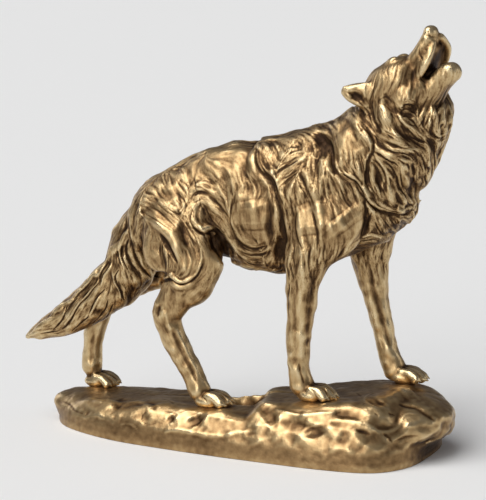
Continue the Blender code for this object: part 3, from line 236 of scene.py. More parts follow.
HEAD_STROKES = [
    ("groove", 0.8, -0.9, [(391, 62), (394, 59.6), (398, 59)]),
    ("groove", 1.0, -0.8, [(389, 66), (387, 71), (388, 76)], [(379, 104), (380, 100), (384, 97), (388, 98),
     (391, 102)]),
    ("groove", 1.6, -0.5, [(408, 66), (406, 75), (407, 85), (404, 94)]),
    ("groove", 1.8, -0.5, [(414, 69), (412, 78), (413, 88), (410, 97)]),
    ("groove", 1.0, -0.6, [(398, 64), (396, 74), (392, 84), (388, 92)]),
    ("groove", 1.0, -0.5, [(403, 70), (401, 80), (397, 90)]),
    ("groove", 0.9, -0.6, [(402, 66), (400, 73), (398, 80)]),
    ("groove", 2.8, -2.2, [(350, 93), (356, 96), (362, 100)]),
    ("ridge", 1.4, 0.8, [(345, 90), (354, 87), (364, 85)]),
    ("groove", 1.0, -1.0, [(352, 98), (358, 102), (364, 106)], [(402, 107), (406, 105), (411, 105),
     (415, 108)], [(400, 112), (404, 109.5), (410, 111), (415, 113)], [(402, 117), (407, 115), (413, 117)],
     [(384, 130), (391, 134), (398, 138)], [(393, 124), (398, 132), (404, 138), (410, 142)], [(400, 127),
     (406, 135), (412, 141), (418, 144), (424, 146)], [(407, 128), (412, 134), (418, 140), (425, 143)],
     [(412, 127), (416, 132), (421, 138), (428, 141)], [(352, 114), (358, 121), (362, 127)]),
    ("ridge", 1.6, 0.7, [(396, 64), (394, 72), (392, 82)]),
    ("groove", 0.9, -0.9, [(419, 66), (418, 72), (421, 79), (426, 83)]),
    ("groove", 1.5, -1.9, [(425.5, 72), (427.5, 76)]),
    ("groove", 0.9, -0.8, [(418.5, 47), (419.5, 55), (423, 61)], [(428, 96), (425, 104), (421, 111),
     (418, 117)], [(433, 97), (430, 105), (426, 112)]),
    ("ridge", 1.0, 0.5, [(436, 43), (433, 50), (429, 56), (424.5, 62)]),
    ("groove", 0.6, -0.5, [(423.5, 44), (424, 45)], [(421.5, 48), (422, 49)], [(425, 49), (425.4, 50)],
     [(423, 53), (423.4, 54)], [(427, 45), (427.4, 46)], [(421.6, 57), (422, 58)]),
    ("groove", 0.9, -1.4, [(427.4, 31.5), (428.8, 32)]),
    ("groove", 0.7, -0.7, [(424.5, 36), (429, 35), (431, 37), (437, 37)]),
    ("ridge", 2.6, 0.9, [(383, 103), (385, 110), (388, 117), (389.5, 123)]),
    ("groove", 1.0, -0.7, [(378, 108), (378, 117), (382, 124), (384.5, 128)]),
    ("groove", 1.1, -0.8, [(393, 106), (396, 113), (398, 119)]),
    ("groove", 0.8, -0.7, [(382, 101), (382, 108), (385, 116)], [(387, 102), (389, 110), (392, 118),
     (391, 125)]),
    ("groove", 1.2, -1.1, [(377, 76), (375, 84), (373, 92), (370, 100), (369.5, 108), (371, 116),
     (374, 124)], [(433, 110), (432, 122), (431, 135)]),
    ("ridge", 1.2, 0.8, [(380, 79), (377, 88), (374, 97), (373, 106), (374, 114)]),
    ("groove", 1.1, -1.1, [(400, 118), (404, 122), (409, 125), (415, 126)], [(371, 118), (376, 126),
     (384, 134), (392, 139), (400, 142)], [(366, 120), (372, 130), (380, 139), (390, 145), (402, 148),
     (412, 147)], [(362, 126), (368, 134), (374, 142), (382, 149), (392, 152), (404, 153), (413, 155)]),
    ("groove", 1.8, -1.4, [(447, 91), (443.5, 98), (440, 104), (436, 110), (433, 117)]),
    ("groove", 1.0, -0.9, [(430, 112), (428, 120), (425, 127)], [(426, 114), (423, 121), (419, 127)],
     [(421, 118), (423, 125), (427, 131), (430, 134)], [(402, 152), (410, 156), (415, 162)], [(418, 150),
     (422, 158), (424, 166)], [(430, 150), (431, 158), (430, 166)]),
    ("ridge", 1.2, 1.1, [(447, 130), (444, 134), (439, 136)]),
    ("ridge", 1.2, 0.9, [(368, 124), (374, 134), (382, 141), (392, 147), (404, 150)], [(374, 124),
     (380, 131), (388, 137), (397, 141)]),
    ("ridge", 1.0, 0.8, [(397, 124), (402, 132), (408, 138), (414, 142)], [(409, 125), (414, 130),
     (420, 135), (426, 138)]),
    ("groove", 1.3, -1.2, [(358, 118), (362, 126), (368, 133), (374, 140)]),
    ("groove", 1.1, -1.0, [(373, 150), (380, 156), (388, 160), (396, 163)]),
]

TAIL_STROKES = [
    ("groove", 1.6, -1.3, [(129, 222), (130, 232), (127, 243), (126, 250), (129, 262), (136, 270)]),
    ("groove", 1.2, -1.0, [(108, 262), (104, 268), (100, 275), (98, 283)]),
    ("ridge", 1.6, 1.0, [(113, 250), (112, 260), (110, 268), (104, 276), (101, 284)], [(112, 272),
     (114, 281), (119, 290), (121, 299)], [(101, 293), (96, 302), (91, 312), (84, 320)]),
    ("groove", 1.1, -1.0, [(122, 246), (121, 255), (124, 263), (128, 270)], [(117, 248), (118, 256),
     (121, 265)], [(119, 270), (115, 277), (117, 285), (121, 292), (124, 300)], [(98, 283), (92, 290),
     (87, 297), (80, 304), (75, 312), (70, 322), (62, 330)], [(104, 290), (97, 298), (93, 306), (88, 316),
     (80, 324), (72, 331)], [(108, 300), (106, 308), (100, 316), (93, 322)]),
    ("groove", 0.9, -0.8, [(92, 280), (86, 287), (79, 293), (73, 300)], [(76, 299), (70, 305), (66, 312)]),
    ("groove", 1.0, -0.9, [(113, 304), (110, 311), (106, 317)]),
    ("ridge", 1.4, 0.9, [(90, 290), (84, 298), (77, 307), (71, 317), (64, 325)]),
    ("groove", 0.9, -0.9, [(66, 307), (64, 316), (58, 325), (53, 330)]),
    ("groove", 0.8, -0.7, [(40, 334), (48, 333), (56, 333)]),
]

LEG_STROKES = [
    ("groove", 2.4, -0.8, [(172, 328), (179, 345), (188, 362), (196, 380)]),
    ("ridge", 2.2, 0.8, [(178, 330), (185, 346), (194, 364), (203, 382)], [(377, 352), (379, 360),
     (384, 366)]),
    ("groove", 2.2, -0.8, [(183, 326), (190, 342), (199, 360), (207, 378)]),
    ("ridge", 3.0, 1.0, [(162, 310), (166, 320), (172, 330)]),
    ("groove", 2.4, -0.9, [(156, 296), (160, 306), (158, 316)]),
    ("groove", 1.0, -0.9, [(203, 397), (206, 400), (209, 406)], [(211, 394), (216, 398), (220, 405)],
     [(219, 393), (225, 398), (229, 404)], [(310, 388), (314, 392), (317, 398)], [(320, 386), (325, 390),
     (328, 397)]),
    ("ridge", 1.6, 0.8, [(166, 312), (168, 322), (172, 330)]),
    ("groove", 2.6, -1.0, [(312, 270), (312, 290), (309, 318), (308, 345), (312, 362)]),
    ("ridge", 2.8, 0.9, [(301, 262), (302, 290), (301, 325), (302, 358)]),
    ("groove", 1.6, -0.9, [(299, 364), (301, 374), (304, 383)]),
    ("groove", 1.4, -1.0, [(291, 282), (288, 300), (289, 318)]),
    ("ridge", 2.2, 0.9, [(292, 352), (289, 360), (291, 368)]),
    ("groove", 2.4, -1.0, [(370, 270), (375, 295), (383, 320), (390, 345)]),
    ("ridge", 2.4, 0.8, [(362, 275), (368, 300), (375, 325), (381, 348)]),
    ("groove", 2.4, -0.6, [(94, 335), (91, 350), (91, 365)]),
    ("ridge", 2.0, 0.7, [(147, 300), (153, 318), (158, 328)]),
]

ROCK_STROKES = [
    ("groove", 0.8, -0.9, [(150, 411), (144, 414), (142, 419), (144, 423), (149, 425), (155, 424)]),
    ("groove", 0.7, -0.8, [(132, 412), (133, 408), (137, 409), (138, 412)]),
    ("groove", 2.4, -1.8, [(153, 404), (155, 410)]),
    ("groove", 3.0, -1.6, [(121, 399), (119, 408)]),
    ("groove", 1.6, -1.6, [(63, 402), (70, 405), (75, 411), (83, 414)]),
    ("ridge", 2.2, 1.2, [(84, 418), (95, 415), (105, 419)]),
    ("ridge", 2.4, 1.2, [(130, 402), (140, 402), (148, 406)]),
    ("ridge", 2.6, 1.0, [(94, 401), (103, 402)]),
    ("groove", 2.6, -1.7, [(169, 416), (173, 421)]),
    ("groove", 1.0, -1.2, [(166, 411), (174, 413), (178, 418)]),
    ("ridge", 1.6, 1.0, [(120, 425), (130, 424), (138, 430)]),
    ("groove", 3.6, -2.1, [(195, 415), (199, 424)]),
    ("ridge", 2.2, 1.3, [(165, 432), (180, 430), (200, 434), (220, 436), (236, 433), (256, 431)]),
    ("ridge", 1.6, 0.9, [(205, 415), (225, 419), (242, 422)]),
    ("ridge", 1.4, 0.8, [(182, 413), (192, 411), (204, 413)]),
    ("groove", 3.4, -2.4, [(261, 405), (268, 413), (275, 424)]),
    ("ridge", 1.5, 1.2, [(256, 411), (264, 421), (271, 429)]),
    ("ridge", 2.0, 1.4, [(275, 409), (290, 413), (305, 415), (320, 413), (335, 413)], [(365, 423),
     (378, 431), (390, 431), (399, 427)]),
    ("groove", 3.0, -1.8, [(280, 422), (297, 424), (311, 428)]),
    ("groove", 4.0, -1.5, [(313, 426), (315, 433), (316, 438)]),
    ("ridge", 3.0, 1.4, [(329, 425), (334, 433), (342, 438)]),
    ("ridge", 2.5, 1.3, [(330, 421), (345, 420), (362, 424)]),
    ("groove", 3.0, -1.2, [(338, 414), (350, 415), (364, 417)]),
    ("ridge", 1.4, 1.3, [(366, 409), (364, 400), (370, 394), (384, 391)]),
    ("groove", 4.6, -1.9, [(371, 403), (384, 401)]),
    ("groove", 0.9, -1.2, [(353, 391), (361, 396), (364, 404), (361, 411)]),
    ("ridge", 6.0, 1.7, [(398, 392), (413, 393)]),
    ("groove", 2.5, -1.8, [(401, 405), (415, 407), (425, 413), (434, 420)]),
    ("ridge", 1.6, 1.1, [(400, 426), (403, 417), (409, 413), (418, 414)]),
    ("ridge", 2.4, 1.0, [(407, 423), (410, 426)]),
    ("groove", 2.0, -1.7, [(357, 430), (370, 434)]),
    ("groove", 2.0, -1.6, [(384, 434), (392, 441)]),
    ("groove", 1.6, -1.2, [(395, 441), (405, 437), (418, 436)]),
    ("groove", 1.0, -1.0, [(375, 413), (379, 417)], [(388, 413), (395, 415)]),
    ("groove", 0.9, -1.1, [(162, 399), (170, 401), (175, 406)]),
]


# Places of the picture where polished muscle shows through the coat, with a radius in millimetres
CALM = [(251, 214, 12), (253, 232, 8), (155, 217, 6), (166, 229, 6), (176, 242, 6), (148, 250, 6),
        (154, 262, 5), (188, 262, 6), (212, 258, 5), (170, 192, 5), (215, 158, 9), (235, 160, 9),
        (195, 168, 7), (250, 158, 7), (303, 228, 8), (306, 215, 6), (350, 222, 11), (335, 232, 8),
        (322, 215, 5), (345, 130, 6), (352, 145, 6), (362, 148, 4), (407, 184, 4), (388, 108, 3)]


# Painted shade: places of the picture painted dark, with a radius in millimetres: mouth, ear hollow and deep
# folds
PAINTED_SHADE_SPOTS = [(441, 50, 3.6), (438, 57, 3.4), (434, 64, 3.0), (430, 71, 2.6), (428, 76, 2.0), (357, 97, 2.6),
        (362, 100, 2.4), (412, 107, 2.6), (216, 242, 5), (224, 254, 4), (280, 250, 4), (320, 141, 3.5),
        (326, 150, 3)]


# Shapes worked out as whole arrays
def smooth_rows(rows, per_gap):
    """A Catmull-Rom curve through the rows: each gap is a cubic in t, for all gaps and all t at once."""
    rows = np.array(rows, dtype=float)
    rows = np.vstack([2 * rows[0] - rows[1], rows, 2 * rows[-1] - rows[-2]])
    before, start, end, after = (rows[i:len(rows) - 3 + i, None, :] for i in range(4))
    t = np.linspace(0, 1, per_gap, endpoint=False)[None, :, None]
    curve = 2 * start + (end - before) * t
    curve = curve + (2 * before - 5 * start + 4 * end - after) * t ** 2
    curve = curve + (3 * start - before - 3 * end + after) * t ** 3
    return np.vstack([curve.reshape(-1, rows.shape[1]) / 2, rows[-2]])


def ring_faces(rings, around):
    """The quads between neighbouring rings of points, closed around, and one face over each end."""
    i, j = np.meshgrid(np.arange(rings - 1), np.arange(around), indexing="ij")
    k = (j + 1) % around
    quads = np.stack([i * around + j, i * around + k, (i + 1) * around + k, (i + 1) * around + j], -1)
    faces = quads.reshape(-1, 4).tolist()
    faces.append(list(range(around))[::-1])
    faces.append(list(range((rings - 1) * around, rings * around)))
    return faces


def unit(vectors):
    """The vectors with their lengths made 1."""
    return vectors / (np.linalg.norm(vectors, axis=-1, keepdims=True) + 1e-12)


def tube(rows, around=60, per_gap=12, domes=8, across=(0, 1, 0)):
    """A limb: an ellipse (cos a, sin a) carried along the rows' curve, with a quarter-round dome at each end.
    A row is x, y, z, half width and half depth."""
    curve = smooth_rows(rows, per_gap)
    centres = curve[:, :3]
    sizes = np.maximum(curve[:, 3:5], 0.2)
    heading = unit(np.gradient(centres, axis=0))
    across = np.array(across, dtype=float)
    side = unit(across - heading * (heading @ across)[:, None])
    normal = np.cross(heading, side)
    turn = math.pi / 2 * np.arange(domes, 0, -1) / (domes + 0.4)
    index = np.concatenate([np.zeros(domes, int), np.arange(len(curve)), np.full(domes, len(curve) - 1)])
    slide = np.concatenate([-np.sin(turn), np.zeros(len(curve)), np.sin(turn[::-1])])
    shrink = np.concatenate([np.cos(turn), np.ones(len(curve)), np.cos(turn[::-1])])
    middle = centres[index] + heading[index] * (slide * sizes[index].min(1))[:, None]
    angle = np.linspace(0, 2 * math.pi, around, endpoint=False)
    wide = side[index] * (sizes[index, 0] * shrink)[:, None]
    deep = normal[index] * (sizes[index, 1] * shrink)[:, None]
    points = middle[:, None] + wide[:, None] * np.cos(angle)[:, None] + deep[:, None] * np.sin(angle)[:, None]
    return points.reshape(-1, 3), ring_faces(len(index), around)


def ball(centre, radii, pitch=0.0, yaw=0.0):
    """An ellipsoid on a grid of latitude and longitude, its long axis lifted by pitch and turned by yaw."""
    around, rings = 72, 45
    latitude = np.linspace(-1, 1, rings)[:, None] * (math.pi / 2 - 0.06)
    longitude = np.linspace(0, 2 * math.pi, around, endpoint=False)[None, :]
    points = np.stack([np.cos(latitude) * np.cos(longitude), np.cos(latitude) * np.sin(longitude),
                       np.sin(latitude) + 0 * longitude], -1).reshape(-1, 3) * np.array(radii)
    p, y = math.radians(pitch), math.radians(yaw)
    lift = np.array([[math.cos(p), 0, -math.sin(p)], [0, 1, 0], [math.sin(p), 0, math.cos(p)]])
    spin = np.array([[math.cos(y), -math.sin(y), 0], [math.sin(y), math.cos(y), 0], [0, 0, 1]])
    return points @ (spin @ lift).T + np.array(centre), ring_faces(rings, around)


def blend(low, high, value):
    """A smooth step: 0 at low and 1 at high, 3 t^2 - 2 t^3 between them."""
    t = np.clip((value - low) / (high - low), 0, 1)
    return t * t * (3 - 2 * t)


def rock_top(x, y):
    """Height of the rock's top: a low slab behind, one step, a rise to the front, a fall on the far side."""
    rear = REAR_TOP_Z + (MIDDLE_TOP_Z - REAR_TOP_Z) * blend(-85, -25, x)
    past_step = x - STEP_X + STEP_SLANT * (y + 25)
    rise = (FRONT_TOP_Z - MIDDLE_TOP_Z - STEP_RISE) * blend(STEP_X, 90, x)
    along = rear + STEP_RISE * blend(-7, 2, past_step) + rise
    stations = [-110, -88, -60, -30, -8, 6, 25, 50, 73, 100]
    shoulder = np.interp(x, stations, [14, 20, 18, 7, -2, 6, 15, 21, 30, 30])
    fall = 0.62 * np.maximum(y - shoulder, 0) ** 1.1
    dip = 4.6 * np.exp(-((past_step + 15) / 11) ** 2) * blend(-14, -4, y)
    return np.maximum(along - fall - dip, BASE_BAND_HEIGHT + 1.5)


def bumps(x, y, z, size, seed):
    """Smooth lumps: nine sine waves in seeded directions, added up, about -1 to 1."""
    rng = np.random.default_rng(seed)
    total = 0
    for _ in range(9):
        direction = unit(rng.normal(size=3))
        phase = rng.uniform(0, 2 * math.pi)
        length = size * rng.uniform(0.7, 1.6)
        wave = (x * direction[0] + y * direction[1] + z * direction[2]) * 2 * math.pi / length
        total = total + np.sin(wave + phase)
    return total / 4.5


def closed_curve(rows, count):
    """A smooth closed outline through the rows, with its points evenly spaced along it."""
    rows = np.array(rows, dtype=float)
    dense = smooth_rows(np.vstack([rows[-2:], rows, rows[:3]]), 24)[2 * 24:-2 * 24]
    travel = np.concatenate([[0], np.cumsum(np.linalg.norm(np.diff(dense, axis=0), axis=1))])
    wanted = np.linspace(0, travel[-1], count, endpoint=False)
    return np.stack([np.interp(wanted, travel, dense[:, 0]), np.interp(wanted, travel, dense[:, 1])], 1)


def rock():
    """The rock: its outline drawn in by an inset and raised from the band to the top, 1 - (1 - u) ^ 2.3."""
    edge = closed_curve(BASE_OUTLINE, 260)
    middle = (edge.min(0) + edge.max(0)) / 2
    half = (edge.max(0) - edge.min(0)) / 2
    spread = edge - middle
    inset = np.array([0.4, 1.0, 1.9, 3.0, 4.2, 5.5, 7, 8.5, 10, 11.5, 13, 14.5, 16.5, 19, 22, 26, 30, 34,
                      37])[:, None]
    x = middle[0] + spread[:, 0] * (1 - inset / half[0])
    y = middle[1] + spread[:, 1] * (1 - inset / half[1])
    lift = 1 - (1 - np.minimum(inset / 15.5, 1)) ** 2.3
    deep = x * 0 + inset
    chisel = ROCK_ROUGHNESS * (0.8 * bumps(x, y, deep, 15, 3) + 0.2 * bumps(x, y, deep, 7, 4))
    chisel = chisel * np.maximum(np.sin(math.pi * np.minimum(inset / 17, 1)), 0) ** 0.7
    z = BASE_BAND_HEIGHT + (rock_top(x, y) - BASE_BAND_HEIGHT) * lift + chisel
    z = z + 0.45 * bumps(x, y, x * 0, 19, 8) * lift
    share = np.array([0.02, 0.5, 1.0])[:, None]
    under = np.stack([middle[0] + spread[:, 0] * (1 - (1 - share) * half[1] / half[0]),
                      middle[1] + spread[:, 1] * share, np.full((3, len(edge)), -4.0)], -1)
    band = np.stack([edge[:, 0], edge[:, 1], np.full(len(edge), BASE_BAND_HEIGHT - 1.0)], -1)[None]
    points = np.concatenate([under, band, np.stack([x, y, z], -1)])
    return [(points.reshape(-1, 3), ring_faces(len(points), len(edge))),
            ball((79.5, 0, 16.5), (21, 26, 12)), ball((75.5, 14, 19.5), (17, 18, 9.5)),
            ball((-93, 9, 8.2), (17, 15, 6.4))]


def head():
    """Skull, muzzle, nose, lips, palate, lower jaw, cheeks, brows and ears, each a ball or a tube."""
    yaw = -18
    facing = (0.31, 0.95, 0)
    muzzle = [(73, -2.8, 173.4, 10.5, 8.5), (78.3, -4.2, 179.4, 8.2, 5.6), (82.4, -5.4, 185.4, 7.0, 4.5),
              (85.6, -6.5, 190.8, 6.3, 4.2), (87.4, -7.2, 194.2, 5.2, 3.9)]
    side = [(77.5, -9.0, 175, 4.0, 5.0), (82.6, -9.6, 181.5, 3.6, 4.6), (86.2, -9.4, 187.6, 3.0, 3.8),
            (88.0, -8.6, 192.4, 2.4, 2.8)]
    near_lip = [(81, -11.5, 175, 1.6, 2.2), (85, -12.4, 181, 1.6, 2.6), (88, -11.8, 187.5, 1.5, 2.4),
                (89.5, -9.8, 192.5, 1.4, 1.9)]
    far_lip = [(88.5, 2.6, 178, 1.8, 2.6), (92, 2.0, 184, 1.9, 2.6), (92.6, -0.4, 190, 1.9, 3.4),
               (91.4, -3.8, 195, 1.8, 2.4)]
    palate = [(83.6, -4.2, 176.6, 8.4, 4.6), (88, -4.8, 184, 7.4, 3.0), (89.8, -6, 190, 5.8, 2.4)]
    jaw = [(79, -3.6, 163, 12, 10), (86, -5.2, 168.6, 9.4, 7.2), (91.4, -6.6, 174.1, 6.6, 5.6),
           (95.8, -7.6, 178.5, 5.6, 5.0), (97, -7.9, 179.5, 5.2, 4.8)]
    near_ear = [(65, -12, 167, 3.2, 6.4), (59, -13.6, 168.4, 3.0, 6.2), (53.5, -14.6, 169.6, 2.4, 4.6),
                (49.8, -15, 170.6, 1.4, 2.4)]
    far_ear = [(68, 7.5, 168.4, 3.2, 6.0), (63.4, 9.4, 169, 3.0, 5.2), (58.5, 11, 169.2, 2.2, 3.5),
               (55, 11.8, 169.4, 1.2, 1.6)]
    return [ball((70, -3.2, 170.5), (19, 13.6, 12.4), 42, yaw), tube(muzzle, across=facing),
            ball((87.9, -7.3, 197.1), (3.1, 4.2, 3.2), 53, yaw), tube(side, around=16, across=facing),
            tube(near_lip, around=12, across=facing), tube(far_lip, around=12, across=facing),
            tube(palate, around=16, across=facing), tube(jaw, across=facing),
            ball((76, -13, 166), (10, 5, 8), 55, yaw), ball((80, 8.5, 167), (10, 5, 8), 55, yaw),
            ball((85, 7.2, 160.8), (12.2, 6.3, 10), 75, yaw),
            ball((70.4, -8.4, 182.0), (4.8, 3.4, 3.2), 44, yaw),
            ball((72.4, 1.0, 183.0), (4.8, 3.6, 3.2), 44, yaw), tube(near_ear, around=16),
            tube(far_ear, around=16)]


def paw(x, y):
    """A paw on the rock: a pad, and four toes that arch from the foot down to their tips."""
    ground = rock_top(np.array(x + 1.0), np.array(float(y))).item()
    parts = [ball((x - 0.8, y, ground + 2.4), (PAW_LENGTH * 0.39, PAW_HALF_WIDTH * 0.86, 3.9))]
    for number, share in enumerate((-0.72, -0.26, 0.24, 0.7)):
        reach = PAW_LENGTH * (0.30 if number in (0, 3) else 0.41)
        tip = (x + reach, y + share * PAW_HALF_WIDTH, ground + TOE_RADIUS * 0.8)
        back = (x - 1, y + share * PAW_HALF_WIDTH * 0.75, ground + TOE_RADIUS * 1.6)
        parts.append(tube([(*back, TOE_RADIUS * 0.66, TOE_RADIUS * 0.9),
                           ((back[0] + tip[0]) / 2 + 0.6, (back[1] + tip[1]) / 2, ground + TOE_RADIUS * 1.55,
                            TOE_RADIUS * 0.7, TOE_RADIUS * 0.85),
                           (*tip, TOE_RADIUS * 0.7, TOE_RADIUS * 0.85)], around=12, per_gap=3))
        parts.append(tube([(tip[0] + 1.3, tip[1], tip[2] + 0.5, 0.95, 1.0),
                           (tip[0] + 3.0, tip[1], tip[2] - 0.7, 0.6, 0.65)], around=10, per_gap=3))
    return parts


def legs():
    """Four legs as tubes from the body down to the pastern, and a paw under each."""
    near, far = NEAR_FOOT_Y, FAR_FOOT_Y
    near_fore = [(45, near + 6, 124, 9, 19), (41, near + 2.5, 108, 9, 17), (34.5, near, 93, 8, 11),
                 (31.8, near, 82, 6.8, 8.4), (31.1, near, 69, 6, 7.0), (30, near, 57, 5.3, 6.1),
                 (29.8, near, 48, 5.1, 5.5), (30.2, near, 41, 5.2, 5.2), (31.8, near, 33, 5.6, 5.8)]
    far_fore = [(54, far - 6, 118, 9, 18), (53, far - 2, 102, 8.5, 13), (53.5, far, 87, 6.8, 9),
                (55.5, far, 76, 6, 7), (57.4, far, 67, 5.5, 5.8), (59.8, far, 58, 5, 5.2),
                (61.8, far, 49, 4.9, 5.0), (63.8, far, 42, 5, 5.2), (66.4, far, 35.5, 5.4, 5.6)]
    near_hind = [(-32, near + 8, 110, 11, 20), (-30, near + 4.5, 98, 11, 20.5),
                 (-26, near + 1.5, 87, 9.5, 18.5), (-25.8, near, 79, 8, 13.5), (-31.4, near, 70.5, 6.2, 8.6),
                 (-36.2, near, 62, 5, 7.5), (-34.1, near, 53.5, 4.6, 6.5), (-29.1, near, 44.5, 4.5, 5.7),
                 (-24.2, near, 35.5, 4.6, 5.4), (-19.8, near, 26, 5, 5.6)]
    far_hind = [(-42, far - 8, 106, 11, 17), (-49, far - 4, 93, 10, 17), (-58, far - 1, 80, 8, 13),
                (-70, far, 70, 6, 8.5), (-80.4, far, 63.5, 4.8, 5.8), (-86.5, far, 55, 4.6, 5.9),
                (-90.1, far, 45, 4.5, 5.5), (-92, far, 35, 4.5, 5.1), (-92.6, far, 24, 4.8, 5.2)]
    parts = [tube(rows) for rows in (near_fore, far_fore, near_hind, far_hind)]
    for x, y in ((NEAR_FORE_PAW_X, near), (FAR_FORE_PAW_X, far), (NEAR_HIND_PAW_X, near),
                 (FAR_HIND_PAW_X, far)):
        parts += paw(x, y)
    return parts


# Meshes as arrays
class Skin:
    """A mesh held as arrays: places in millimetres, faces of four corners, edges and normals."""

    def __init__(self, places, faces):
        self.places = places
        self.faces = faces
        ends = np.vstack([faces[:, [i, (i + 1) % faces.shape[1]]] for i in range(faces.shape[1])])
        ends.sort(axis=1)
        code = np.unique(ends[:, 0].astype(np.int64) * len(places) + ends[:, 1])
        self.edges = np.stack([code // len(places), code % len(places)], 1)
        self.degree = np.bincount(self.edges.ravel(), minlength=len(places)).astype(float)

    def neighbours(self, values):
        """The mean of each vertex's neighbours."""
        a, b = self.edges.T
        out = np.empty_like(values)
        for axis in range(values.shape[1]):
            column = values[:, axis]
            out[:, axis] = (np.bincount(a, column[b], len(values)) + np.bincount(b, column[a], len(values)))
        return out / self.degree[:, None]

    def relaxed(self, values, rounds, share=0.5):
        for _ in range(rounds):
            values = values + share * (self.neighbours(values) - values)
        return values

    def normals(self):
        """Each vertex's normal: the sum of the cross products of its faces' diagonals."""
        corner = self.places[self.faces]
        face = np.cross(corner[:, 2] - corner[:, 0], corner[:, 3] - corner[:, 1])
        out = np.zeros_like(self.places)
        for axis in range(3):
            for column in self.faces.T:
                out[:, axis] += np.bincount(column, face[:, axis], len(out))
        return unit(out)

    def tree(self):
        return BVHTree.FromPolygons([Vector(p) for p in self.places.tolist()], self.faces.tolist())


def fused(parts, voxel):
    """Closed pieces melted into one skin of even quads."""
    points, faces, start = [], [], 0
    for part_points, part_faces in parts:
        points.append(part_points)
        faces += [[i + start for i in face] for face in part_faces]
        start += len(part_points)
    mesh = bpy.data.meshes.new("draft")
    mesh.from_pydata((np.vstack(points) * MM).tolist(), [], faces)
    work = bmesh.new()
    work.from_mesh(mesh)
    bmesh.ops.recalc_face_normals(work, faces=work.faces)
    work.to_mesh(mesh)
    work.free()
    obj = bpy.data.objects.new("draft", mesh)
    bpy.context.scene.collection.objects.link(obj)
    remesh = obj.modifiers.new("skin", "REMESH")
    remesh.mode = "VOXEL"
    remesh.voxel_size = voxel * MM
    graph = bpy.context.evaluated_depsgraph_get()
    graph.update()
    made = bpy.data.meshes.new_from_object(obj.evaluated_get(graph))
    places = np.empty(len(made.vertices) * 3)
    made.vertices.foreach_get("co", places)
    corners = np.empty(len(made.loops), dtype=np.int32)
    made.loops.foreach_get("vertex_index", corners)
    bpy.data.objects.remove(obj)
    bpy.data.meshes.remove(mesh)
    bpy.data.meshes.remove(made)
    return biggest(places.reshape(-1, 3) / MM, corners.reshape(-1, 4))


def biggest(places, faces):
    """The skin without stray pieces: labels spread along the faces until each joined part has one."""
    label = np.arange(len(places))
    while True:
        corner = label[faces]
        low = np.minimum(np.minimum(corner[:, 0], corner[:, 1]), np.minimum(corner[:, 2], corner[:, 3]))
        new = label.copy()
        for column in faces.T:
            np.minimum.at(new, column, low)
        new = new[new]
        if np.array_equal(new, label):
            break
        label = new
    main = np.bincount(label).argmax()
    keep = label == main
    order = np.cumsum(keep) - 1
    return Skin(places[keep], order[faces[keep[faces[:, 0]]]])


# Locks
COAT = [((52, -20, 150), (0.3, 0, -0.9)), ((60, -18, 165), (0.5, -0.1, -0.8)),
        ((80, -16, 158), (0.55, 0, -0.8)), ((88, -10, 140), (0.3, 0.1, -0.9)),
        ((75, -18, 130), (0.35, 0.1, -0.9)), ((55, -22, 125), (0.1, 0, -1)),
        ((40, -22, 130), (-0.2, 0, -1)), ((15, -22, 120), (-0.6, 0, -0.7)), ((0, 0, 146), (-1, 0, -0.2)),
        ((-20, -20, 115), (-0.5, 0, -0.8)), ((-35, -20, 100), (-0.35, 0, -0.9)),
        ((-48, -14, 105), (-0.6, 0, -0.8)), ((-30, -24, 85), (-0.5, 0, -0.8)),
        ((-75, -8, 70), (-0.75, 0, -0.6)), ((-100, -4, 50), (-0.85, 0, -0.4)),
        ((-60, -8, 92), (-0.6, 0, -0.8)), ((70, -10, 105), (-0.2, 0, -1)), ((5, -14, 90), (-0.8, 0, -0.4))]


def coat_direction(point, normal):
    """The way the coat lies at a point: the rows above weighed by nearness and laid onto the surface."""
    total = Vector((0, 0, 0))
    for place, way in COAT:
        gap = (Vector((point.x, -abs(point.y), point.z)) - Vector(place)).length
        total += Vector(way).normalized() / (gap + 4) ** 3
    if point.y > 0:
        total.y = -total.y
    total -= normal * total.dot(normal)
    return total.normalized()


def locks(skin, seeds, seed):
    """Tapered locks: each walks over the skin along the coat, as a tube that swells, thins and stands up."""
    rng = np.random.default_rng(seed)
    tree = skin.tree()
    out = []
    steps = 7
    for x, y, z, size in seeds:
        place, normal, _, _ = tree.find_nearest(Vector((x, y, z)))
        bend = rng.uniform(-0.5, 0.5)
        rows = []
        for i in range(steps + 1):
            t = i / steps
            swell = 0.35 + 0.75 * math.sin(math.pi * min(t * 0.8 + 0.12, 1)) ** 0.8
            swell = LOCK_RADIUS * size * swell * (1 - 0.75 * t ** 4)
            centre = place + normal * (LOCK_RISE * size * LOCK_RADIUS * (0.1 + 0.9 * t) - swell * 0.55)
            rows.append((centre.x, centre.y, centre.z, swell, swell * 0.9))
            way = coat_direction(place, normal)
            step = (way + normal.cross(way) * bend * math.sin(math.pi * 2 * t)) * (LOCK_LENGTH * size / steps)
            place, normal, _, _ = tree.find_nearest(place + step)
        out.append(tube(rows, around=12, per_gap=3, domes=3, across=(0.2, 0.9, 0.3)))
    return out


def lock_seeds():
    """Where locks start: the front of the chest and throat, the tail and the belly, each with its size."""
    rng = np.random.default_rng(5)
    seeds = []
    for height in range(7):
        for turn in range(-2, 3):
            angle = math.radians(turn * 22 + 11 * (height % 2))
            x = 64 + height * 2.2 + (24 - height) * math.cos(angle)
            y = (21 - height * 0.6) * math.sin(angle)
            z = 120 + height * 7 + 3 * math.cos(angle) + rng.uniform(-2, 2)
            seeds.append((x, y, z, rng.uniform(0.6, 1.0)))
    for side in (-1, 1):
        for row in range(7):
            for place in (-1, 0, 1):
                seeds.append((-62 - row * 8 + place * 4, side * 9, 96 - row * 8 + place * 5,
                              rng.uniform(0.5, 0.75)))
        for place in range(7):
            seeds.append((-2 + place * 5, side * 9, 86, rng.uniform(0.5, 0.7)))
    return seeds


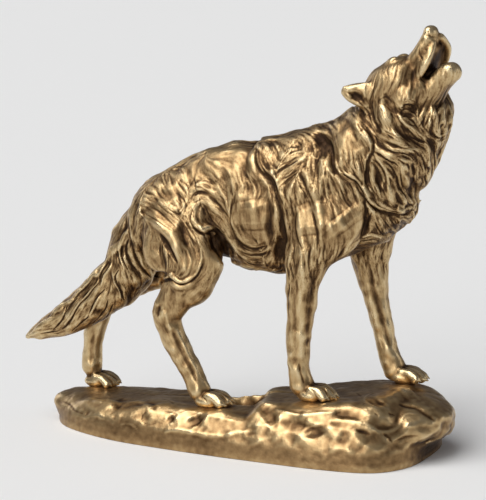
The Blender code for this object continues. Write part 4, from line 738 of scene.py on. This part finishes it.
# Carving
def view_axes():
    """Unit vectors ahead, right and up at the photograph's viewpoint."""
    turn, lift = math.radians(VIEW_TURN), math.radians(VIEW_LIFT)
    ahead = Vector((-math.sin(turn) * math.cos(lift), math.cos(turn) * math.cos(lift), -math.sin(lift)))
    right = Vector((math.cos(turn), math.sin(turn), 0))
    return ahead, right, right.cross(ahead)


def cast(tree, pixels):
    """Points of the body behind the given places of the picture, seen from the photograph's viewpoint."""
    ahead, right, up = view_axes()
    eye = Vector(VIEW_AIM) - ahead * VIEW_DISTANCE
    scale = VIEW_PIXELS_PER_MM * VIEW_DISTANCE
    aim_across, aim_down = VIEW_AIM_PIXEL
    found = []
    for across, down in pixels:
        ray = ahead + right * ((across - aim_across) / scale) - up * ((down - aim_down) / scale)
        place, _, _, _ = tree.ray_cast(eye, ray.normalized())
        if place is not None:
            found.append(tuple(place))
    return np.array(found)


def stroke_depth(places, normals, line, kind, width, height, side):
    """How far a stroke moves each vertex along its normal: a bell exp(-(d / width)^2) of the distance d to
    the line. A step is raised on one side of the line and sunk on the other. Both ends thin out."""
    push = np.zeros(len(places))
    low, high = line.min(0) - 3 * width, line.max(0) + 3 * width
    near = np.flatnonzero(np.all((places > low) & (places < high), axis=1))
    if len(near) == 0:
        return push
    here, facing = places[near], normals[near]
    best = np.full(len(near), 1e9)
    signed = np.zeros(len(near))
    spot = np.zeros(len(near))
    lengths = np.linalg.norm(np.diff(line, axis=0), axis=1)
    passed = np.concatenate([[0], np.cumsum(lengths)])
    for number, (start, end) in enumerate(zip(line[:-1], line[1:])):
        along = end - start
        share = np.clip(((here - start) @ along) / (along @ along + 1e-9), 0, 1)
        gap = here - start - share[:, None] * along
        distance = np.linalg.norm(gap, axis=1)
        closer = distance < best
        best[closer] = distance[closer]
        spot[closer] = (passed[number] + share * lengths[number])[closer] / passed[-1]
        left = np.cross(facing, along / (np.linalg.norm(along) + 1e-9)) * side
        signed[closer] = np.einsum("ij,ij->i", gap, left)[closer]
    taper = np.clip(STROKE_TAPER * np.minimum(spot, 1 - spot), 0, 1) ** 0.7
    width, height = width * (0.5 + 0.5 * taper), height * (0.35 + 0.65 * taper)
    if kind == "step":
        raised = height * np.exp(-((signed - 0.5 * width) / width) ** 2) * (signed > -0.3 * width)
        sunk = -0.9 * height * np.exp(-((signed + 0.55 * width) / (0.5 * width)) ** 2)
        ends = np.exp(-np.maximum(best - np.abs(signed), 0) ** 2 / width ** 2)
        push[near] = (raised + sunk) * ends * (best < 3 * width)
    else:
        push[near] = height * np.exp(-(best / width) ** 2)
    return push


def carve(skin, strokes, mirrored, lines, strength=1.0):
    """The strokes pressed into the near side, and mirrored into the far side where the coat is the same.
    The lines that they follow are kept, because the fine fur runs along them. Narrow strokes stay shallow and
    leave ink, the dark patina that settles in a groove."""
    normals = unit(skin.relaxed(skin.normals(), 4))
    ink = np.zeros(len(skin.places))
    tree = skin.tree()
    push = np.zeros(len(skin.places))
    mirror = np.array([1, -1, 1])
    for kind, full_width, full_height, *paths in strokes:
        wide = blend(*NARROW_TO_WIDE, full_width)
        width, height = full_width * (0.36 + 0.64 * wide), full_height * (0.26 + 0.7 * wide) * strength
        for pixels in paths:
            line = cast(tree, pixels)
            if len(line) < 2:
                continue
            line = smooth_rows(line, 3)
            for side in (1, -1) if mirrored else (1,):
                trace = line * mirror if side < 0 else line
                moved = stroke_depth(skin.places, normals, trace, kind, width, height, side)
                push += moved
                ink += np.clip(-moved, 0, INK_LIMIT) * (1 - 0.7 * wide)
                lines.append(trace)
    skin.places = skin.places + normals * push[:, None]
    return ink


# Fine fur
def corner_shares(points, low, size, cell=GRAIN_CELL):
    """For each point, the eight corners of its grid cell and its share in each."""
    at = np.clip((points - low) / cell, 0, np.array(size) - 1.001)
    base = at.astype(int)
    part = at - base
    first = (base[:, 0] * size[1] + base[:, 1]) * size[2] + base[:, 2]
    for corner in range(8):
        a, b, c = corner & 1, corner >> 1 & 1, corner >> 2 & 1
        share = (part[:, 0] if a else 1 - part[:, 0]) * (part[:, 1] if b else 1 - part[:, 1])
        yield first + (a * size[1] + b) * size[2] + c, share * (part[:, 2] if c else 1 - part[:, 2])


def grain_field(skin, normals, lines):
    """Which way the fur runs, as a 3 x 3 tensor on each point of the grid: the sum of d d^T over the coat's
    rows and the carved lines, weighed by nearness, with the part along the surface's normal taken out."""
    low = skin.places.min(0) - GRAIN_CELL
    size = np.ceil((skin.places.max(0) - low) / GRAIN_CELL).astype(int) + 3
    count = int(np.prod(size))
    weight = np.zeros(count)
    facing = np.zeros((count, 3))
    for index, share in corner_shares(skin.places, low, size):
        weight += np.bincount(index, share, count)
        for axis in range(3):
            facing[:, axis] += np.bincount(index, share * normals[:, axis], count)
    used = np.flatnonzero(weight > 0)
    facing = unit(facing[used])
    cell = np.stack(np.unravel_index(used, size), 1) * GRAIN_CELL + low
    guides, ways, strength, reach = [], [], [], []
    for place, way in COAT:
        for side in (1, -1):
            guides.append((place[0], place[1] * side, place[2]))
            ways.append((way[0], way[1] * side, way[2]))
            strength.append(60.0)
            reach.append(6.0)
    guides, ways = np.array(guides, float), unit(np.array(ways, float))
    for line in lines:
        guides = np.vstack([guides, (line[1:] + line[:-1]) / 2])
        ways = np.vstack([ways, unit(line[1:] - line[:-1])])
        strength += [1.0] * (len(line) - 1)
        reach += [1.5] * (len(line) - 1)
    strength, reach = np.array(strength), np.array(reach)
    tensor = np.zeros((count, 3, 3))
    outer = ways[:, :, None] * ways[:, None, :]
    for start in range(0, len(used), 2000):
        block = slice(start, start + 2000)
        gap = np.linalg.norm(cell[block, None] - guides[None], axis=2)
        share = strength / (gap + reach) ** 4
        total = np.einsum("cg,gij->cij", share, outer)
        flat = np.eye(3) - facing[block, :, None] * facing[block, None, :]
        total = flat @ total @ flat
        tensor[used[block]] = total / (np.trace(total, axis1=1, axis2=2)[:, None, None] + 1e-12)
    return low, size, tensor.reshape(count, 9)[:, [0, 4, 8, 1, 2, 5]]


def fur_way(field, points, way):
    """The grain at the points, on the side of the given ways: the tensor applied twice and made unit."""
    low, size, tensor = field
    total = np.zeros((len(points), 6))
    for index, share in corner_shares(points, low, size):
        total += tensor[index] * share[:, None]
    xx, yy, zz, xy, xz, yz = total.T
    for _ in range(2):
        x, y, z = way.T
        turned = [xx * x + xy * y + xz * z, xy * x + yy * y + yz * z, xz * x + yz * y + zz * z]
        way = np.stack(turned, 1) + 0.02 * way
        way /= np.sqrt((way * way).sum(1))[:, None] + 1e-12
    return way


NOISE_TILT = np.array(Matrix.Rotation(math.radians(38), 3, Vector((1, 0.6, 0.3))))


def noise_block(seed, side=64):
    """Seeded random numbers from -1 to 1 for the points of a cube of the given side."""
    return np.random.default_rng(seed).uniform(-1, 1, (side, side, side)).ravel()


def value_noise(block, points, cell, side=64):
    """Seeded random numbers on a repeating grid of the given cell, blended between its points by a smooth
    step. The grid is tilted, so that none of its planes lies along the figure."""
    at = points @ NOISE_TILT / cell
    base = np.floor(at).astype(int)
    part = at - base
    part = part * part * (3 - 2 * part)
    total = 0
    for corner in range(8):
        a, b, c = corner & 1, corner >> 1 & 1, corner >> 2 & 1
        share = (part[:, 0] if a else 1 - part[:, 0]) * (part[:, 1] if b else 1 - part[:, 1])
        spot = ((base[:, 0] + a) % side * side + (base[:, 1] + b) % side) * side + (base[:, 2] + c) % side
        total = total + share * (part[:, 2] if c else 1 - part[:, 2]) * block[spot]
    return total


def fur(skin, field, start_way, cell, length, seed):
    """Hair-like relief: noise of the given cell averaged along the grain over the given length, both ways."""
    block = noise_block(seed)
    step = cell * 0.8
    count = max(2, int(length / 2 / step))
    total = value_noise(block, skin.places, cell)
    weight = 1.0
    for sign in (1, -1):
        at, way = skin.places, start_way * sign
        for i in range(count):
            way = fur_way(field, at, way)
            at = at + way * step
            fade = 0.5 + 0.5 * math.cos(math.pi * (i + 1) / (count + 1))
            total = total + fade * value_noise(block, at, cell)
            weight += fade
    total = total / weight
    return (total - total.mean()) / total.std()


# Pieces
def write_mesh(name, places, faces, normals, values):
    """An object at the origin from arrays, with its normals and its point values set."""
    mesh = bpy.data.meshes.new(name)
    mesh.from_pydata((places * MM).tolist(), [], faces)
    mesh.shade_smooth()
    mesh.normals_split_custom_set_from_vertices(normals.tolist())
    for label, column in values.items():
        if column.ndim == 1:
            mesh.attributes.new(label, "FLOAT", "POINT").data.foreach_set("value", column.astype(np.float32))
        else:
            layer = mesh.attributes.new(label, "FLOAT_VECTOR", "POINT")
            layer.data.foreach_set("vector", column.astype(np.float32).ravel())
    obj = bpy.data.objects.new(name, mesh)
    bpy.context.scene.collection.objects.link(obj)
    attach(obj, "root")
    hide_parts("wolf_figurine")
    return obj


def cut_piece(name, skin, normals, values, chosen):
    """The chosen faces as a closed piece: each open rim is closed by a fan to its middle, inside the body."""
    faces = skin.faces[chosen]
    heads, tails = faces.ravel(), np.roll(faces, -1, axis=1).ravel()
    count = len(skin.places)
    codes = heads.astype(np.int64) * count + tails
    back = tails.astype(np.int64) * count + heads
    rim = ~np.isin(codes, back)
    follow = dict(zip(tails[rim].tolist(), heads[rim].tolist()))
    used = np.unique(faces)
    order = np.full(count, -1)
    order[used] = np.arange(len(used))
    out = order[faces].tolist()
    places, facing = [skin.places[used]], [normals[used]]
    extra = {label: [column[used]] for label, column in values.items()}
    total = len(used)
    while follow:
        start, now = follow.popitem()
        loop = [start]
        while now != start:
            loop.append(now)
            now = follow.pop(now)
        loop = np.array(loop)
        places.append(skin.places[loop].mean(0)[None])
        facing.append(normals[loop].mean(0)[None])
        for label, column in values.items():
            extra[label].append(column[loop].mean(0)[None])
        out += [[order[a], order[b], total] for a, b in zip(loop.tolist(), np.roll(loop, -1).tolist())]
        total += 1
    return write_mesh(name, np.vstack(places), out, np.vstack(facing),
                      {label: np.concatenate(columns) for label, columns in extra.items()})


def hollowness(skin, normals, cell):
    """How far each vertex lies under its surroundings, in millimetres: the skin's places gathered on a grid
    of the given cell and read back make a smoothed skin to measure from."""
    low = skin.places.min(0) - cell
    size = np.ceil((skin.places.max(0) - low) / cell).astype(int) + 3
    count = int(np.prod(size))
    shares = list(corner_shares(skin.places, low, size, cell))
    total = np.zeros((count, 4))
    for index, share in shares:
        total[:, 3] += np.bincount(index, share, count)
        for axis in range(3):
            total[:, axis] += np.bincount(index, share * skin.places[:, axis], count)
    smooth = np.zeros((len(skin.places), 4))
    for index, share in shares:
        smooth += total[index] * share[:, None]
    return ((smooth[:, :3] / smooth[:, 3:] - skin.places) * normals).sum(1)


def coat_depth(places):
    """How deep the fine fur is cut: full on the body, less on tail and head, faint on legs, none on paws."""
    x, y, z = places.T
    on_tail = blend(-48, -56, x) * blend(13, 9, np.abs(y + 1))
    ground = rock_top(x, y)
    leg = 0.22 + 0.78 * np.maximum(blend(70, 92, z), on_tail)
    paw_fade = blend(10, 20, z - ground)
    muzzle = 1 - 0.5 * blend(178, 188, z)
    head = 1 - 0.5 * blend(156, 170, z)
    tail = 1 - 0.35 * blend(-58, -68, x)
    ruff = blend(48, 62, x) * blend(105, 120, z) * blend(172, 160, z)
    return leg * np.maximum(paw_fade, on_tail) * muzzle * head * tail * (1 + 0.7 * ruff)


def spots(skin, places, both):
    """1 at the picture's given places and 0 away from them: a bell exp(-(d / r)^4) around each."""
    tree = skin.tree()
    value = np.zeros(len(skin.places))
    for across, down, radius in places:
        centre = cast(tree, [(across, down)])
        for side in (1, -1) if both and len(centre) else (1,) * len(centre):
            gap = skin.places - centre[0] * np.array([1, side, 1])
            value = np.maximum(value, np.exp(-((gap * gap).sum(1) / radius ** 2) ** 2))
    return value


def build_wolf():
    """The wolf's skin: trunk, neck, head, legs and tail as tubes and balls, with locks laid on them, all
    melted into one. The strokes push each vertex along its normal, and so do swirls, tufts and hairs, which
    are noise drawn out along the coat, and lumps, which are plain noise."""
    body = [tube(TRUNK, around=120), tube(NECK, around=100)] + head() + legs() + [tube(TAIL)]
    draft = fused(body, DRAFT_VOXEL)
    draft.places = draft.relaxed(draft.places, 5)
    skin = fused(body + locks(draft, lock_seeds(), 11), WOLF_VOXEL)
    skin.places = skin.relaxed(skin.places, 8)
    lines = []
    ink = carve(skin, BODY_STROKES, True, lines) + carve(skin, TAIL_STROKES, True, lines, TAIL_STRENGTH)
    ink = ink + carve(skin, HEAD_STROKES + LEG_STROKES, False, lines)
    normals = unit(skin.relaxed(skin.normals(), 6))
    field = grain_field(skin, normals, lines)
    start = fur_way(field, skin.places, np.tile([0.35, 0.1, -0.93], (len(skin.places), 1)))
    # painted shade in the mouth, the ear's hollow and deep folds
    skin.dark = spots(skin, PAINTED_SHADE_SPOTS, False)
    depth = coat_depth(skin.places) * (1 - 0.75 * spots(skin, CALM, True))
    swirls = fur(skin, field, start, *SWIRL_SIZE, 30)
    tufts = fur(skin, field, start, *TUFT_SIZE, 31)
    hairs = fur(skin, field, start, *HAIR_SIZE, 32)
    relief = TUFT_HEIGHT * np.clip(tufts, -1.5, 1.0) + HAIR_HEIGHT * np.clip(hairs, -1.5, 1.0)
    relief = relief * depth + SWIRL_HEIGHT * swirls * coat_depth(skin.places)
    tilted = skin.places @ NOISE_TILT
    lumps = 0.45 * value_noise(noise_block(33), skin.places, 9.0)
    lumps = lumps + 0.4 * value_noise(noise_block(36), tilted, 7.5)
    lumps = lumps + 0.3 * value_noise(noise_block(34), tilted @ NOISE_TILT, 4.5)
    relief = relief + LUMP_HEIGHT * lumps * np.clip(0.5 + 0.5 * coat_depth(skin.places), 0, 1)
    knobs = value_noise(noise_block(35), skin.places, 3.4)
    relief = relief + KNOB_HEIGHT * knobs * limb_share(skin.places)
    skin.places = skin.places + normals * relief[:, None]
    skin.ink = ink + depth * (0.10 * np.clip(-tufts - 0.3, 0, 1.5) + 0.20 * np.clip(-hairs - 0.1, 0, 1.5))
    # the painted shade is added to the ink, which darkens the finish there
    skin.ink = skin.ink + 0.5 * skin.dark
    skin.coat = np.clip(0.15 + 0.85 * depth, 0, 1)
    skin.grain = start
    return skin


def build_rock():
    """The rock's skin: the raised outline and its boulders melted into one, with the ledge over the
    band rounded off. Ridged sine lumps, pits of noise and the traced strokes push its vertices along
    their normals."""
    skin = fused(rock(), ROCK_VOXEL)
    skin.places = skin.relaxed(skin.places, 10)
    x, _, z = skin.places.T
    ledge = blend(14, 10, z - 8 * blend(45, 75, x)) * blend(1.5, 4, z)
    skin.places = skin.places + ledge[:, None] * (skin.relaxed(skin.places, 90) - skin.places)
    normals = unit(skin.relaxed(skin.normals(), 3))
    x, y, z = skin.places.T
    side = 0.35 + 0.65 * np.clip(1 - normals[:, 2], 0, 1)
    side = side * blend(BASE_BAND_HEIGHT - 1, BASE_BAND_HEIGHT + 3, z)
    lumps = 1 - np.abs(bumps(x, y, z * 1.3, 15, 21)) * 1.2
    pits = np.clip(value_noise(noise_block(25), skin.places, 6.0) - 0.2, 0, 1)
    rough = 0.32 * lumps + 0.20 * bumps(x, y, z, 7.5, 22) + 0.05 * bumps(x, y, z, 3.2, 23) - 0.5 * pits
    push = side * ROCK_ROUGHNESS * rough + 0.10 * value_noise(noise_block(26), skin.places, 2.2)
    skin.places = skin.places + normals * np.where(normals[:, 2] > -0.7, push, 0)[:, None]
    skin.ink = 0.3 * carve(skin, ROCK_STROKES, False, [], ROCK_STRENGTH) + 0.12 * pits * side
    skin.places[:, 2] = np.maximum(skin.places[:, 2], 0.0)
    return skin


def limb_share(places):
    """1 on the legs and the tail, whose tones change more and which get painted shade, and 0 on the body."""
    return np.maximum(blend(86, 74, places[:, 2]), blend(-56, -64, places[:, 0]))


def patina_and_shade(skin, normals, ink, depth):
    """How rubbed the metal is, 0 in dark hollows to 1 on bare edges, with painted shade taken off it."""
    fine = ((skin.relaxed(skin.places, 8) - skin.places) * normals).sum(1)
    middle = hollowness(skin, normals, 1.6)
    broad = hollowness(skin, normals, 5.0)
    # painted shade: surfaces that face down come out darker
    under = np.clip(-normals[:, 2] - 0.1, 0, 1)
    # darker towards the rock's bottom band
    foot = blend(BASE_BAND_HEIGHT + 3, BASE_BAND_HEIGHT - 2, skin.places[:, 2])
    level = RUBBED_LEVEL - FINE_SHARE * fine - depth * (MIDDLE_SHARE * middle + BROAD_SHARE * broad)
    return np.clip(level - INK_SHARE * ink - UNDERSIDE_SHADE * under - FOOT_SHARE * foot, 0, 1)


# Finishes
def node(tree, kind, **settings):
    """A new shader node with the given settings."""
    made = tree.nodes.new(kind)
    for key, value in settings.items():
        setattr(made, key, value)
    return made


def ramp(tree, stops, source):
    """The colour for the source's value, between stops of place and colour."""
    made = node(tree, "ShaderNodeValToRGB")
    elements = made.color_ramp.elements
    while len(elements) < len(stops):
        elements.new(0.5)
    for element, (at, colour) in zip(elements, stops):
        element.position = at
        element.color = (*colour, 1.0)
    tree.links.new(source, made.inputs["Fac"])
    return made.outputs["Color"]


def maths(tree, operation, a, b):
    """A maths node on two numbers or sockets."""
    made = node(tree, "ShaderNodeMath", operation=operation)
    for socket, value in zip(made.inputs, (a, b)):
        if isinstance(value, (int, float)):
            socket.default_value = value
        else:
            tree.links.new(value, socket)
    return made.outputs[0]


def noise(tree, scale, detail, where):
    """Noise from 0 to 1 at the given place."""
    made = node(tree, "ShaderNodeTexNoise")
    made.inputs["Scale"].default_value = scale
    made.inputs["Detail"].default_value = detail
    tree.links.new(where, made.inputs["Vector"])
    return made.outputs["Fac"]


HAIR_WAYS = [(1, 0, 0), (0.87, 0, 0.5), (0.5, 0, 0.87), (0, 0, 1), (-0.5, 0, 0.87), (-0.87, 0, 0.5),
             (0, 0.7, 0.7), (0, -0.7, 0.7)]


def hair_lines(tree, where):
    """Hairs finer than the mesh: noise drawn out along each of eight fixed ways, mixed by how near each way
    is to the coat's grain at the place, |cos| ^ 16. A thin groove runs where the noise crosses its middle."""
    grain = node(tree, "ShaderNodeAttribute", attribute_name="grain").outputs["Vector"]
    total = whole = 0.0
    for way in HAIR_WAYS:
        drawn = node(tree, "ShaderNodeMapping", vector_type="TEXTURE")
        drawn.inputs["Rotation"].default_value = Vector(way).to_track_quat("Z", "Y").to_euler()
        drawn.inputs["Scale"].default_value = (HAIR_WIDTH * MM, HAIR_WIDTH * MM, HAIR_LENGTH * MM)
        tree.links.new(where, drawn.inputs["Vector"])
        cosine = node(tree, "ShaderNodeVectorMath", operation="DOT_PRODUCT")
        tree.links.new(grain, cosine.inputs[0])
        cosine.inputs[1].default_value = Vector(way).normalized()
        share = maths(tree, "POWER", maths(tree, "ABSOLUTE", cosine.outputs["Value"], 0.0), 16.0)
        lines = maths(tree, "SUBTRACT", noise(tree, 1.0, 1.0, drawn.outputs["Vector"]), 0.5)
        lines = maths(tree, "ABSOLUTE", lines, 0.0)
        total = maths(tree, "ADD", total, maths(tree, "MULTIPLY", share, lines))
        whole = maths(tree, "ADD", whole, share)
    mean = maths(tree, "DIVIDE", total, maths(tree, "ADD", whole, 0.001))
    return maths(tree, "MINIMUM", maths(tree, "MULTIPLY", mean, 14.0), 1.0)


def bronze(name, stops, roughness, grain, hairy):
    """Rubbed bronze: its colour goes from dark hollows to pale rubbed edges, with painted shade and cloudy
    tarnish over it.
    """
    material = bpy.data.materials.new(name)
    material.use_nodes = True
    tree = material.node_tree
    shader = tree.nodes["Principled BSDF"]
    where = node(tree, "ShaderNodeTexCoord").outputs["Object"]
    # the rubbed level, with painted shade in it
    rubbed_and_shade = node(tree, "ShaderNodeAttribute", attribute_name="rubbed_and_shade").outputs["Fac"]
    cloud = noise(tree, 55.0, 4.0, where)
    speck = noise(tree, 900.0, 3.0, where)
    level = maths(tree, "ADD", rubbed_and_shade, maths(tree, "MULTIPLY", maths(tree, "SUBTRACT", cloud, 0.5), 0.32))
    level = maths(tree, "ADD", level, maths(tree, "MULTIPLY", maths(tree, "SUBTRACT", speck, 0.5), 0.12))
    height = speck
    if hairy:
        coat = node(tree, "ShaderNodeAttribute", attribute_name="coat").outputs["Fac"]
        lines = maths(tree, "MULTIPLY", maths(tree, "SUBTRACT", hair_lines(tree, where), 0.75), coat)
        level = maths(tree, "ADD", level, maths(tree, "MULTIPLY", lines, 0.42))
        height = maths(tree, "ADD", lines, maths(tree, "MULTIPLY", speck, 0.3))
    tree.links.new(ramp(tree, stops, level), shader.inputs["Base Color"])
    rough = ramp(tree, [(0.0, (roughness[0],) * 3), (1.0, (roughness[1],) * 3)], level)
    tree.links.new(rough, shader.inputs["Roughness"])
    shader.inputs["Metallic"].default_value = 0.9
    bump = node(tree, "ShaderNodeBump")
    bump.inputs["Strength"].default_value = 0.5
    bump.inputs["Distance"].default_value = grain * MM
    tree.links.new(height, bump.inputs["Height"])
    tree.links.new(bump.outputs["Normal"], shader.inputs["Normal"])
    return material


# Stage
def build_stage():
    """A pale floor, an even pale room, and four wide suns."""
    floor = bpy.data.meshes.new("floor")
    corners = ((-1, -1), (1, -1), (1, 1), (-1, 1))
    floor.from_pydata([(x * FLOOR_HALF, y * FLOOR_HALF, FLOOR_Z) for x, y in corners], [], [(0, 1, 2, 3)])
    obj = bpy.data.objects.new("floor", floor)
    bpy.context.scene.collection.objects.link(obj)
    paper = bpy.data.materials.new("pale paper")
    paper.use_nodes = True
    shader = paper.node_tree.nodes["Principled BSDF"]
    shader.inputs["Base Color"].default_value = FLOOR_COLOUR
    shader.inputs["Roughness"].default_value = 0.9
    shader.inputs["Specular IOR Level"].default_value = 0.1
    floor.materials.append(paper)
    world = bpy.data.worlds.new("room")
    world.use_nodes = True
    world.node_tree.nodes["Background"].inputs["Color"].default_value = ROOM_LIGHT
    bpy.context.scene.world = world
    for name, way, width, strength in SUNS:
        lamp = bpy.data.lights.new(name, "SUN")
        lamp.angle = math.radians(width)
        lamp.energy = strength
        box = bpy.data.objects.new(name, lamp)
        box.rotation_euler = Vector(way).to_track_quat("Z", "Y").to_euler()
        bpy.context.scene.collection.objects.link(box)


def build_camera():
    """The camera stands at the photograph's viewpoint and looks at what fills the picture's middle."""
    ahead, right, up = view_axes()
    eye = Vector(VIEW_AIM) - ahead * VIEW_DISTANCE
    middle = Vector(VIEW_AIM) + right * ((PICTURE_WIDTH / 2 - VIEW_AIM_PIXEL[0]) / VIEW_PIXELS_PER_MM) \
        - up * ((PICTURE_HEIGHT / 2 - VIEW_AIM_PIXEL[1]) / VIEW_PIXELS_PER_MM)
    data = bpy.data.cameras.new("camera")
    data.sensor_width = SENSOR_WIDTH
    # the sensor's width lies along the picture's longer side
    data.lens = VIEW_PIXELS_PER_MM * VIEW_DISTANCE / PICTURE_HEIGHT * SENSOR_WIDTH
    obj = bpy.data.objects.new("camera", data)
    obj.location = eye * MM
    obj.rotation_euler = (middle - eye).to_track_quat("-Z", "Y").to_euler()
    bpy.context.scene.collection.objects.link(obj)
    bpy.context.scene.camera = obj


# All together
wolf = build_wolf()
wolf_normals = wolf.normals()
limbs = limb_share(wolf.places)
# the legs and tail get painted shade all over and deeper tones in their hollows
rubbed_and_shade = patina_and_shade(wolf, wolf_normals, wolf.ink + LIMB_SHADE * limbs, 1 + LIMB_CONTRAST * limbs)
wolf_values = {"rubbed_and_shade": rubbed_and_shade, "coat": wolf.coat, "grain": wolf.grain}
middle_x, middle_z = wolf.places[wolf.faces, 0].mean(1), wolf.places[wolf.faces, 2].mean(1)
upper = middle_z > HEAD_FROM_Z
trunk = ~upper & (middle_z > BODY_FROM_Z)
lower = ~upper & ~trunk
chest, rump, fore = middle_x > CHEST_FROM_X, middle_x <= RUMP_TO_X, middle_x > FORELEGS_FROM_X
regions = {"wolf_head": upper, "wolf_forequarters": trunk & chest, "wolf_trunk": trunk & ~chest & ~rump,
           "wolf_hindquarters": trunk & rump, "wolf_forelegs": lower & fore,
           "wolf_hind_legs_and_tail": lower & ~fore}
coat = bronze("rubbed bronze", TONES, (0.46, 0.27), 0.16, True)
stone = bronze("rubbed bronze on stone", TONES, (0.46, 0.27), 0.20, False)
for name, chosen in regions.items():
    piece = cut_piece(name, wolf, wolf_normals, wolf_values, chosen)
    piece.data.materials.append(coat)
ground = build_rock()
ground_normals = ground.normals()
piece = write_mesh("rock", ground.places, ground.faces.tolist(), ground_normals,
                   {"rubbed_and_shade": patina_and_shade(ground, ground_normals, ground.ink, ROCK_CONTRAST)})
piece.data.materials.append(stone)
build_stage()
build_camera()
bpy.context.scene.view_settings.view_transform = "Standard"
